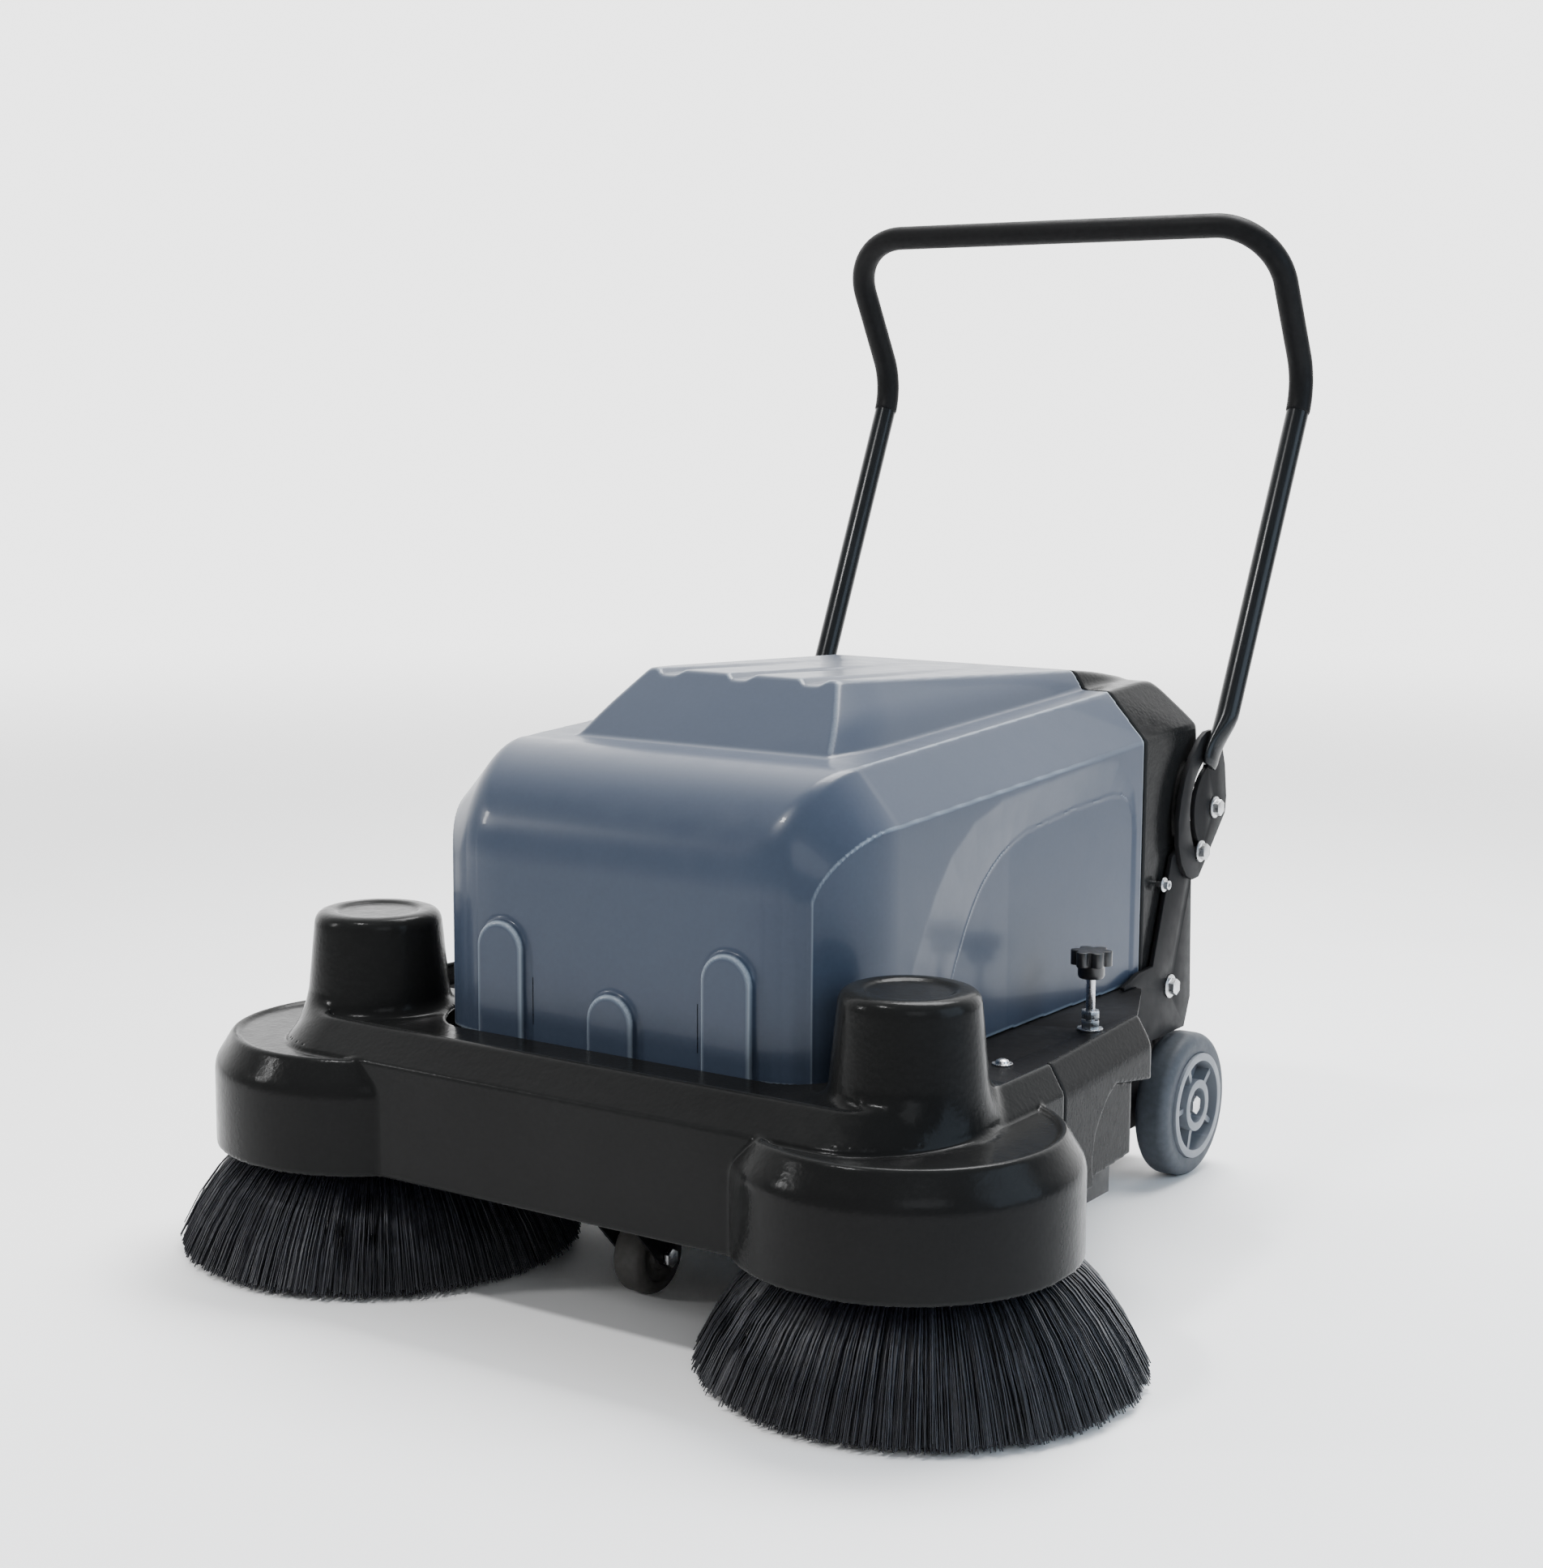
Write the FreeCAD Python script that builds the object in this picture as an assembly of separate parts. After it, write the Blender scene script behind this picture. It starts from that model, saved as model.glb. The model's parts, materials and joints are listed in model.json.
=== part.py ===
import FreeCAD, Part
import math
import os

# Walk behind sweeper. Millimetres, +Z up, floor at z = 0.
# Every shape is drawn with the rear axle at y = 0 and is moved by AXLE_Y when it is written,
# so that the finished object's origin is the middle of its footprint, on the floor.
# -Y is the front of the machine, +Y is the operator's side. Left is the operator's left, +X.

V = FreeCAD.Vector
X_AXIS = V(1, 0, 0)
Y_AXIS = V(0, 1, 0)
Z_AXIS = V(0, 0, 1)
SIDES = (("left", 1), ("right", -1))

AXLE_Y = 321.0

# wheels
WHEEL_R = 80.0
WHEEL_IN = 233.0
WHEEL_OUT = 276.0
RIM_R = 58.3
RIM_IN_R = 50.0
HUB_R = 28.5
CUP_R = 19.5
AXLE_R = 6.0
RUN_FIT = 0.05

# chassis
DECK_TOP = 231.0
DECK_T = 3.0
DECK_HALF = 358.0
DECK_FRONT = -592.0
WALL_IN = 221.0
WALL_OUT = 225.0
WALL_FRONT = -600.0
WALL_REAR = 42.0
ARM_PLATE_IN = 245.0
ARM_PLATE_OUT = 250.0
RAIL_TOP = 194.0
BEAM_Z = 176.0
BEAM_T = 4.0
ARM_BOLT = (-28.4, 217.5)
ARM_SPACER = (-85.0, 215.0)
ARM_BOLT_R = 5.0
DECK_SCREW_X = 290.0
DECK_SCREW_Y = -479.0

# handle
PIVOT_Y = 62.5
PIVOT_Z = 405.7
LOCK_Y = 27.8
LOCK_Z = 360.7
SECTOR_IN = 250.4
SECTOR_OUT = 255.9
SLOT_HALF = 5.6
SLOT_SWEEP = 116.0
TUBE_R = 12.7
TUBE_WALL = 1.6
GRIP_R = 13.75
LEG_END = (269.0, 34.4, 455.0)
KINK = (275.3, 232.8, 874.4)
TOP_CORNER = (276.0, 134.5, 1047.8)
KINK_BEND = 70.0
CORNER_BEND = 72.0

# front cover, bulges and caps
COVER_BOTTOM = 116.0
BUMPER_Y = -805.0
BUMPER_TOP = 227.0
RIM_TOP = 254.0
RIM_FRONT_Y = -771.0
COVER_HALF = 382.0
RIM_HALF = 366.0
SEAM_Y = -528.0
FLANGE_TOP = 248.0
FLANGE_REAR = -588.0
COVER_T = 4.0
BULGE_X = 313.0
BULGE_Y = -692.0
BULGE_R = 157.0
BULGE_WALL_TOP = 199.0
BULGE_TOP = 228.0
BULGE_TOP_R = 139.0
COVER_CORNER_X = 95.0
COVER_CORNER_Y = 115.0
RIM_CORNER_X = 76.0
RIM_CORNER_Y = 81.0
CAP_X = 310.5
CAP_Y = -684.5
CAP_FOOT_R = 93.0
CAP_BASE_R = 72.0
CAP_SHOULDER_R = 64.0
CAP_TOP = 346.0
CAP_T = 3.0

# hood and rear housing
HOOD_HALF = 242.0
HOOD_FRONT = -706.0
HOOD_REAR = -88.0
HOOD_BOTTOM = 232.0
HOOD_FRONT_BOTTOM = 240.0
HOOD_T = 3.5
CORNER_X = 75.0
CORNER_Y = 115.0
NOSE_R = 110.0
NOSE_TOP = 519.0
SHOULDER_HALF = 197.0
SHOULDER_DROP = 51.0
SHOULDER_RISE = 0.051
BLOCK_FRONT = -568.0
BLOCK_FRONT_TOP = -494.0
BLOCK_TOP = 585.0
BLOCK_REAR_TOP = 565.0
BLOCK_HALF = 186.0
GROOVE_X = (-88.0, 0.0, 88.0)
ARCH_DEPTH = 10.0
HOUSING_FRONT = -85.0
HOUSING_REAR = 48.0
HOUSING_TOP_REAR = 20.6
HOUSING_TOP_Z = 549.0
HOUSING_KNEE_Z = 500.0
RECESS_X = 230.0
RECESS_Y = 8.0
RECESS_TOP = 428.0
HOUSING_SCREW_Y = -50.0
HOUSING_SCREW_Z = 334.0

# hood hinge
HINGE_Y = -694.0
HINGE_Z = 262.0
HINGE_R = 5.0
HINGE_PIN_R = 2.5

# control panel
PANEL_TILT = -math.degrees(math.atan2(HOUSING_TOP_Z - HOUSING_KNEE_Z, HOUSING_REAR - HOUSING_TOP_REAR))
PANEL_MID = V(0, (HOUSING_TOP_REAR + HOUSING_REAR) / 2, (HOUSING_TOP_Z + HOUSING_KNEE_Z) / 2)
KEY_X = -62.0
ROCKER_X = (-22.0, 22.0)
SOCKET_X = 120.0
SOCKET_Z = 420.0

# side brushes
BRUSH_X = 320.0
BRUSH_Y = -675.0
BRUSH_R = 204.0
DISC_R = 72.0

# main brush
ROLLER_Y = -320.0
ROLLER_Z = 106.0
ROLLER_R = 105.0
ROLLER_CORE_R = 42.0
ROLLER_HALF = 190.0
CARRIER_Y = -570.0
CARRIER_Z = 170.0
CARRIER_PIN_R = 8.0
CARRIER_ARM_IN = 211.0
CARRIER_ARM_OUT = 216.0
MOTOR_Y = -490.0
MOTOR_Z = 170.0
BELT_X = -202.0
PULLEY_R = 45.0
MOTOR_PULLEY_R = 20.0
BELT_T = 4.0
BELT_W = 9.0

# height adjuster
KNOB_X = 295.0
KNOB_Y = -308.0
SCREW_R = 4.5

# caster
CASTER_R = 38.0
CASTER_W = 34.0
CASTER_SWIVEL_Y = -685.0
CASTER_TRAIL = 35.0


def box(x0, x1, y0, y1, z0, z1):
    return Part.makeBox(x1 - x0, y1 - y0, z1 - z0, V(x0, y0, z0))


def rod(radius, start, end):
    """A cylinder from start to end."""
    a = V(*start)
    b = V(*end)
    return Part.makeCylinder(radius, (b - a).Length, a, b - a)


def ring(outer, inner, start, end):
    a = V(*start)
    b = V(*end)
    along = (b - a).normalize()
    return rod(outer, start, end).cut(rod(inner, tuple(a - along), tuple(b + along)))


def prism(points, direction):
    """A prism of a closed outline of 3-D points."""
    wire = Part.makePolygon([V(*p) for p in points] + [V(*points[0])])
    return Part.Face(wire).extrude(V(*direction))


def prism_x(points, x0, x1):
    return prism([(x0, y, z) for y, z in points], (x1 - x0, 0, 0))


def prism_y(points, y0, y1):
    return prism([(x, y0, z) for x, z in points], (0, y1 - y0, 0))


def prism_z(points, z0, z1):
    return prism([(x, y, z0) for x, y in points], (0, 0, z1 - z0))


def hexagon(across, start, end):
    """A hexagonal prism, as wide across its flats as given."""
    a = V(*start)
    b = V(*end)
    corner = across / math.sqrt(3)
    flat = Part.makePolygon([V(corner * math.cos(math.radians(60 * i)),
                               corner * math.sin(math.radians(60 * i)), 0) for i in range(7)])
    shape = Part.Face(flat).extrude(V(0, 0, (b - a).Length))
    shape.Placement = FreeCAD.Placement(a, FreeCAD.Rotation(Z_AXIS, b - a))
    return shape


def revolve_z(points, centre):
    """A solid of revolution about a vertical axis from a closed (radius, z) outline."""
    x, y = centre
    wire = Part.makePolygon([V(x + r, y, z) for r, z in points + points[:1]])
    return Part.Face(wire).revolve(V(x, y, 0), Z_AXIS, 360)


def revolve_x(points, centre):
    """A solid of revolution about an axis along X from a closed (x, radius) outline."""
    y, z = centre
    wire = Part.makePolygon([V(x, y, z + r) for x, r in points + points[:1]])
    return Part.Face(wire).revolve(V(0, y, z), X_AXIS, 360)


def mirror(shape):
    return shape.mirror(V(0, 0, 0), X_AXIS)


def side_of(shape, sign):
    """The left shape as it is, or its mirror image for the right side."""
    return shape if sign > 0 else mirror(shape)


def both(shape):
    return [shape, mirror(shape)]


def fuse(shapes):
    return shapes[0].multiFuse(shapes[1:]).removeSplitter()


def save(name, shapes):
    """Write one node. A group of separate solids is given as a list."""
    if not isinstance(shapes, list):
        shapes = [shapes]
    moved = [s.translated(V(0, AXLE_Y, 0)) for s in shapes]
    result = moved[0] if len(moved) == 1 else Part.makeCompound(moved)
    result.exportStep("parts/" + name + ".step")


def outline_x(points, x):
    return Part.makePolygon([V(x, y, z) for y, z in points + points[:1]])


def outline_z(points, z):
    return Part.makePolygon([V(x, y, z) for x, y in points + points[:1]])


def rounded_plan(half, front, rear, rx, ry):
    """An outline seen from above, with elliptical front corners."""
    corner = [(half - rx + rx * math.sin(a), front + ry - ry * math.cos(a))
              for a in [math.radians(10 * i) for i in range(10)]]
    return corner + [(half, rear), (-half, rear)] + [(-x, y) for x, y in reversed(corner)]


def trim(shape, face, keep, inset):
    """Cut a shape by the plane of three points, moved inwards, keeping the side of a given point."""
    a, b, c = [V(*p) for p in face]
    out = (b - a).cross(c - a).normalize()
    if out.dot(V(*keep) - a) > 0:
        out = out * -1
    waste = Part.makeBox(2000, 2000, 500, V(-1000, -1000, 0))
    waste.Placement = FreeCAD.Placement(a - out * inset, FreeCAD.Rotation(Z_AXIS, out))
    return shape.cut(waste)


def arc_points(centre, radius, first, last, count):
    """Points of an arc in a plane, by angle in degrees."""
    step = (last - first) / (count - 1)
    return [(centre[0] + radius * math.cos(math.radians(first + step * i)),
             centre[1] + radius * math.sin(math.radians(first + step * i))) for i in range(count)]


# ---------------------------------------------------------------- chassis

def chassis_frame():
    wall_outline = [(WALL_FRONT, DECK_TOP - DECK_T), (WALL_FRONT, 150), (-540, 118), (-460, 118),
                    (-420, 60), (30, 60), (WALL_REAR, 75), (WALL_REAR, DECK_TOP - DECK_T)]
    wall = prism_x(wall_outline, WALL_IN, WALL_OUT)
    half_deck = [(DECK_HALF, DECK_FRONT), (DECK_HALF, -526), (340, -300), (302, -215), (264, -128),
                 (256, -112)]
    deck = prism_z(half_deck + [(-x, y) for x, y in reversed(half_deck)], DECK_TOP - DECK_T, DECK_TOP)
    deck_nose = box(-160, 160, -700, DECK_FRONT, DECK_TOP - DECK_T, DECK_TOP)
    deck_tail = box(-WALL_OUT, WALL_OUT, -112, WALL_REAR, DECK_TOP - DECK_T, DECK_TOP)
    front_wall = box(-WALL_OUT, WALL_OUT, WALL_FRONT, WALL_FRONT + 4, 150, DECK_TOP - DECK_T)
    apron = box(-150, 150, WALL_FRONT, WALL_FRONT + 4, 118, 150)
    baffle = box(-188, 188, -446, -443, 112, DECK_TOP - DECK_T)
    lip = box(-WALL_IN, WALL_IN, -204, -201, 62, 95)
    rail = box(203, WALL_IN, -190, 34, RAIL_TOP - 4, RAIL_TOP)
    frame = fuse([wall, mirror(wall), deck, deck_nose, deck_tail, front_wall, apron, baffle, lip]
                 + both(rail))
    air_way = box(-160, 160, -240, -125, DECK_TOP - 10, DECK_TOP + 10)
    lift_slot = box(WALL_IN - 5, WALL_OUT + 5, -332, -284, 188, 222)
    holes = [air_way, lift_slot, rod(5.2, (KNOB_X, KNOB_Y, 220), (KNOB_X, KNOB_Y, 240))]
    bolts = [(0, WHEEL_R, AXLE_R), (CARRIER_Y, CARRIER_Z, CARRIER_PIN_R), (*ARM_BOLT, ARM_BOLT_R)]
    for sign in (1, -1):
        for y, z, r in bolts:
            holes.append(rod(r + RUN_FIT, (sign * 200, y, z), (sign * 240, y, z)))
        screw_x = sign * DECK_SCREW_X
        holes.append(rod(3.2, (screw_x, DECK_SCREW_Y, 220), (screw_x, DECK_SCREW_Y, 240)))
    return frame.cut(Part.makeCompound(holes))


def front_crossmember():
    """The beam under the front cover that carries the side brush motors and the caster."""
    plate = box(-372, 372, -735, -622, BEAM_Z, BEAM_Z + BEAM_T)
    tongue = box(-120, 120, -735, -600, BEAM_Z, BEAM_Z + BEAM_T)
    upright = box(-120, 120, -604, -600, 130, 210)
    lip = box(-372, 372, -735, -731, BEAM_Z, BEAM_Z + 22)
    post = box(-32, 32, CASTER_SWIVEL_Y - 32, CASTER_SWIVEL_Y + 32, 112, BEAM_Z)
    hollow = box(-28, 28, CASTER_SWIVEL_Y - 28, CASTER_SWIVEL_Y + 28, 116, BEAM_Z)
    beam = fuse([plate, tongue, upright, lip, post]).cut(hollow)
    holes = [rod(10, (s * BRUSH_X, BRUSH_Y, 150), (s * BRUSH_X, BRUSH_Y, 200)) for s in (1, -1)]
    holes.append(rod(6 + RUN_FIT, (0, CASTER_SWIVEL_Y, 100), (0, CASTER_SWIVEL_Y, 120)))
    return beam.cut(Part.makeCompound(holes))


def side_plate():
    """The steel arm that carries the handle, with a welded spacer tube and a welded stud."""
    outline = [(12.6, 164), (26.5, 196), (21.2, 328), (60, 372), (84, 392), (84, 418), (68, 430),
               (50, 428), (16, 384), (-29.9, 361.3), (-71.4, 246.8), (-106.3, 245.5),
               (-140, 236), (-140, 232.5), (-112, 232), (-106, 164)]
    plate = prism_x(outline, ARM_PLATE_IN, ARM_PLATE_OUT)
    tube = rod(9, (WALL_OUT, *ARM_BOLT), (ARM_PLATE_IN, *ARM_BOLT))
    stud = rod(9, (WALL_OUT, *ARM_SPACER), (ARM_PLATE_IN, *ARM_SPACER))
    arm = fuse([plate, tube, stud])
    bolts = [ARM_BOLT, (LOCK_Y, LOCK_Z), (PIVOT_Y, PIVOT_Z)]
    holes = [rod(ARM_BOLT_R + RUN_FIT, (WALL_OUT, y, z), (260, y, z)) for y, z in bolts]
    screw_at = (HOUSING_SCREW_Y, HOUSING_SCREW_Z)
    holes.append(rod(3 + RUN_FIT, (230, *screw_at), (260, *screw_at)))
    return arm.cut(Part.makeCompound(holes))


def side_plate_bolts(sign):
    """The hexagon bolt of the arm with washer and nut, and the small cap screw of the rear housing."""
    head = hexagon(16, (ARM_PLATE_OUT + 2, *ARM_BOLT), (ARM_PLATE_OUT + 9, *ARM_BOLT))
    washer = ring(13, ARM_BOLT_R, (ARM_PLATE_OUT, *ARM_BOLT), (ARM_PLATE_OUT + 2, *ARM_BOLT))
    shank = rod(ARM_BOLT_R, (WALL_IN - 9, *ARM_BOLT), (ARM_PLATE_OUT + 2, *ARM_BOLT))
    nut = hexagon(16, (WALL_IN - 8, *ARM_BOLT), (WALL_IN, *ARM_BOLT))
    solids = [fuse([head, washer, shank, nut])]

    def along(radius, x0, x1):
        return rod(radius, (x0, HOUSING_SCREW_Y, HOUSING_SCREW_Z), (x1, HOUSING_SCREW_Y, HOUSING_SCREW_Z))
    socket = hexagon(5, (ARM_PLATE_OUT + 4, HOUSING_SCREW_Y, HOUSING_SCREW_Z),
                     (ARM_PLATE_OUT + 8, HOUSING_SCREW_Y, HOUSING_SCREW_Z))
    head = along(5, ARM_PLATE_OUT + 1.5, ARM_PLATE_OUT + 7)
    washer = along(8, ARM_PLATE_OUT, ARM_PLATE_OUT + 1.5)
    shank = along(3, HOOD_HALF - 6, ARM_PLATE_OUT)
    solids.append(fuse([head, washer, shank]).cut(socket))
    return [side_of(s, sign) for s in solids]


# ---------------------------------------------------------------- covers

def hood_plan(inset):
    """The hood's outline seen from above."""
    return rounded_plan(HOOD_HALF - inset, HOOD_FRONT + inset, 20, CORNER_X, CORNER_Y)


def shoulder_z(y):
    return NOSE_TOP + 1 + SHOULDER_RISE * (y - BLOCK_FRONT)


def body_section(inset, y):
    """The cross-section below the raised block: upright sides, a chamfer and a flat top."""
    top = shoulder_z(y) - inset
    half = HOOD_HALF - inset
    top_half = SHOULDER_HALF - inset
    side_top = top - SHOULDER_DROP
    return [(half, 100), (half, side_top), (top_half, top), (-top_half, top), (-half, side_top), (-half, 100)]


def sheared_prism(section, y0, y1, rise):
    return prism([(x, y0, z) for x, z in section], (0, y1 - y0, rise * (y1 - y0)))


def hood_lower(inset, y_end):
    """The hood's body without the raised block."""
    front = HOOD_FRONT + inset
    top = NOSE_TOP - inset
    radius = NOSE_R - inset
    nose = arc_points((front + radius, top - radius), radius, 180, 90, 13)
    profile = [(front, 150)] + nose + [(BLOCK_FRONT, top + 1), (40, top + 40), (40, 150)]
    body = prism_x(profile, -HOOD_HALF, HOOD_HALF)
    plan = prism_z(hood_plan(inset), 150, 700)
    start = HOOD_FRONT - 50
    section = sheared_prism(body_section(inset, start), start, y_end, SHOULDER_RISE)
    bottom = box(-HOOD_HALF, HOOD_HALF, start, y_end, 150 if inset else HOOD_BOTTOM, 700)
    return body.common(plan).common(section).common(bottom)


def hood_block(inset, y_end):
    """The raised block on top, trimmed out of a slab by its flat faces."""
    slab = box(-BLOCK_HALF, BLOCK_HALF, BLOCK_FRONT - 10, y_end, NOSE_TOP - 60, BLOCK_TOP + 20)
    inside = (0, -300, 450)
    slab = trim(slab, [(0, -494, 585), (1, -494, 585), (0, -87, 565)], inside, inset)
    slab = trim(slab, [(-157, -568, 519), (157, -568, 519), (121, -494, 585)], inside, inset)
    for s in (1, -1):
        faces = [[(s * 144.4, -475, 555.8), (s * 155.5, -128.3, 560.6), (s * 121, -494, 585)],
                 [(s * 172.6, -543.6, 519.3), (s * 172.5, -86.6, 542.8), (s * 144.4, -475, 555.8)],
                 [(s * 157, -568, 519), (s * 172.6, -543.6, 519.3), (s * 121, -494, 585)]]
        for face in faces:
            slab = trim(slab, face, inside, inset)
    return slab


def hood_outer(inset, y_end):
    return hood_lower(inset, y_end).fuse(hood_block(inset, y_end)).removeSplitter()


def rib_pad(x, top, half_width):
    """A raised pad with a round top on the hood's front face."""
    radius = half_width
    outline = [(x - half_width, HOOD_BOTTOM)] + arc_points((x, top - radius), radius, 180, 0, 13)
    outline.append((x + half_width, HOOD_BOTTOM))
    return prism_y(outline, HOOD_FRONT - 5, HOOD_FRONT + 1)


def side_arch():
    """The sunk panel in the hood's side, with its bevelled border."""
    outer = [(-602, 225), (-566, 332), (-526, 395), (-496, 428), (-453, 454), (-398, 469),
             (-194, 483), (-148, 479), (-112, 444), (-104, 400), (-104, 225)]
    inner = [(-512, 225), (-470, 317), (-451, 350), (-420, 389), (-381, 414), (-335, 429),
             (-240, 440), (-160, 444), (-134, 441), (-116, 428), (-112, 225)]
    wires = [outline_x(outer, HOOD_HALF + 0.5), outline_x(inner, HOOD_HALF - ARCH_DEPTH)]
    return Part.makeLoft(wires, True, True)


def hood():
    """The hood's shell. Its front edge is higher, so that it clears the deck as the hood tips."""
    arches = Part.makeCompound(both(side_arch()))
    behind = side_arch().translated(V(-HOOD_T - 0.5, 0, 0))
    behind = behind.fuse(box(WALL_OUT + 6, HOOD_HALF + 3, -512, -112, 225, 317))
    inner = hood_outer(HOOD_T, HOOD_REAR + 5).cut(Part.makeCompound(both(behind)))
    slope = (BLOCK_REAR_TOP - BLOCK_TOP) / (-87 - BLOCK_FRONT_TOP)
    grooves = []
    for x in GROOVE_X:
        section = [(x - 7, BLOCK_TOP - 2.4), (x + 7, BLOCK_TOP - 2.4), (x + 7, BLOCK_TOP + 30),
                   (x - 7, BLOCK_TOP + 30)]
        grooves.append(sheared_prism(section, BLOCK_FRONT_TOP, HOOD_REAR + 1, slope))
    shell = hood_outer(0, HOOD_REAR).cut(arches).cut(inner).cut(Part.makeCompound(grooves))
    pads = [rib_pad(-132, 358, 28), rib_pad(0, 303, 27), rib_pad(132, 358, 28)]
    front_edge = box(-HOOD_HALF, HOOD_HALF, HOOD_FRONT - 10, HOOD_FRONT + 45, 200, HOOD_FRONT_BOTTOM)
    return fuse([shell] + pads).cut(front_edge)


def rear_housing():
    """The moulded box behind the hood, recessed where the handle's bolts end."""
    def solid(inset):
        body = sheared_prism(body_section(inset, -200), -200, 60, SHOULDER_RISE)
        body = body.fuse(hood_block(inset, 60))
        front = HOUSING_FRONT - inset
        rear = HOUSING_REAR - inset
        profile = [(front, 100), (front, 620), (-50, 620), (-50, 563.2 - inset),
                   (HOUSING_TOP_REAR - inset, HOUSING_TOP_Z - inset * 0.5), (rear, HOUSING_KNEE_Z),
                   (rear, 100)]
        body = body.common(prism_x(profile, -300, 300))
        recess = box(RECESS_X - inset, 300, RECESS_Y - inset, 100, 90, RECESS_TOP + inset)
        return body.cut(Part.makeCompound(both(recess)))
    outer = solid(0).common(box(-300, 300, -200, 200, HOOD_BOTTOM, 700))
    shell = outer.cut(solid(HOOD_T))
    screw_at = (HOUSING_SCREW_Y, HOUSING_SCREW_Z)
    holes = [rod(3 + RUN_FIT, (s * 225, *screw_at), (s * 260, *screw_at)) for s in (1, -1)]
    holes.append(rod(13.2, (SOCKET_X, 30, SOCKET_Z), (SOCKET_X, 60, SOCKET_Z)))
    holes += [on_panel(box(x - 9.2, x + 9.2, -13.2, 13.2, -12, 6)) for x in ROCKER_X]
    holes.append(on_panel(Part.makeCylinder(10.2, 20, V(KEY_X, 0, -12))))
    return shell.cut(Part.makeCompound(holes))


def front_cover():
    """The moulded bumper cover: a hollow body, the two brush bulges and the two motor caps."""
    def body(inset, bottom):
        z_low = BUMPER_TOP - inset * 0.4
        z_high = RIM_TOP - inset * 0.4
        rear = SEAM_Y + inset * 2
        low = rounded_plan(COVER_HALF - inset, BUMPER_Y + inset, rear, COVER_CORNER_X, COVER_CORNER_Y)
        high = rounded_plan(RIM_HALF - inset * 0.6, RIM_FRONT_Y + inset * 0.4, rear,
                            RIM_CORNER_X, RIM_CORNER_Y)
        bevel = Part.makeLoft([outline_z(low, z_low), outline_z(high, z_high)], True, True)
        return prism_z(low, bottom, z_low).fuse(bevel)

    def bulge(inset, bottom):
        outline = [(0, bottom), (BULGE_R - inset, bottom), (BULGE_R - inset, BULGE_WALL_TOP - inset * 0.3),
                   (BULGE_TOP_R - inset * 0.6, BULGE_TOP - inset), (0, BULGE_TOP - inset)]
        return revolve_z(outline, (BULGE_X, BULGE_Y))

    def cap(inset, bottom):
        points = [(0, bottom), (CAP_FOOT_R - inset, bottom)]
        flare = ((14, 2.5), (8, 7), (3.5, 15), (1, 26))
        points += [(CAP_BASE_R + r - inset, BULGE_TOP + z) for r, z in flare]
        points.append((CAP_SHOULDER_R - inset, CAP_TOP - 19))
        points += arc_points((CAP_SHOULDER_R - 12, CAP_TOP - 15), 12 - inset * 0.5, 5, 80, 6)
        points += [(CAP_SHOULDER_R - 16, CAP_TOP - inset), (CAP_SHOULDER_R - 24, CAP_TOP - 2.5 - inset),
                   (0, CAP_TOP - 4 - inset)]
        return revolve_z(points, (CAP_X, CAP_Y))

    tray = prism_z(rounded_plan(RIM_HALF - 4, RIM_FRONT_Y + 5, FLANGE_REAR, RIM_CORNER_X, RIM_CORNER_Y),
                   FLANGE_TOP, 260)
    rear_gap = box(-RIM_HALF + 4, RIM_HALF - 4, FLANGE_REAR, -500, 90, 260)
    hood_gap = prism_z(hood_plan(-6.5), 236, 260)
    outer = body(0, COVER_BOTTOM).cut(tray)
    outer = fuse([outer] + both(bulge(0, COVER_BOTTOM)) + both(cap(0, BULGE_TOP)))
    outer = outer.common(box(-600, 600, -900, SEAM_Y, 0, 400))
    below_flange = box(-600, 600, -900, 0, 0, FLANGE_TOP - COVER_T)
    inner = body(COVER_T, 90).common(below_flange).fuse(both(bulge(COVER_T, 90)))
    shell = outer.cut(inner).cut(Part.makeCompound(both(cap(CAP_T, 200))))
    return shell.cut(rear_gap).cut(hood_gap)


def side_cover():
    """The moulded cover between the front cover and the wheel, with a sunk arch."""
    front_y = SEAM_Y + 1.5
    rear_y = -302.0

    def section(y, shift):
        points = [(382, 122), (382, 227), (366, 254), (362, 254), (362, 232), (366, 232), (366, 247),
                  (378, 226), (378, 122)]
        return Part.makePolygon([V(x - shift, y, z) for x, z in points + points[:1]])
    shell = Part.makeLoft([section(front_y, 0), section(rear_y, 19)], True, True)
    end_points = [(359, 126), (363, 130), (363, 227), (347, 252), (343, 252), (343, 232.5), (347, 232.5),
                  (347, 240), (352, 232), (352, 130)]
    shell = shell.fuse(prism_y(end_points, rear_y - 4, rear_y))
    arch = [(-436, 118), (-450, 156), (-435, 178), (-416, 195), (-397, 205), (-330, 197), (-322, 190),
            (-322, 118)]
    cut = prism_x(arch, 340, 400)
    backing = prism_x([(-442, 122), (-456, 156), (-439, 182), (-418, 200), (-397, 210), (-326, 202),
                       (-306, 196), (-306, 122)], 355, 359)
    inner_arch = [(y + (3 if y < -400 else -3), z - 4) for y, z in arch]
    web = prism_x(arch, 356, 362).cut(prism_x(inner_arch, 340, 400))
    return fuse([shell.cut(cut), backing, web])


# ---------------------------------------------------------------- hood hinge

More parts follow.
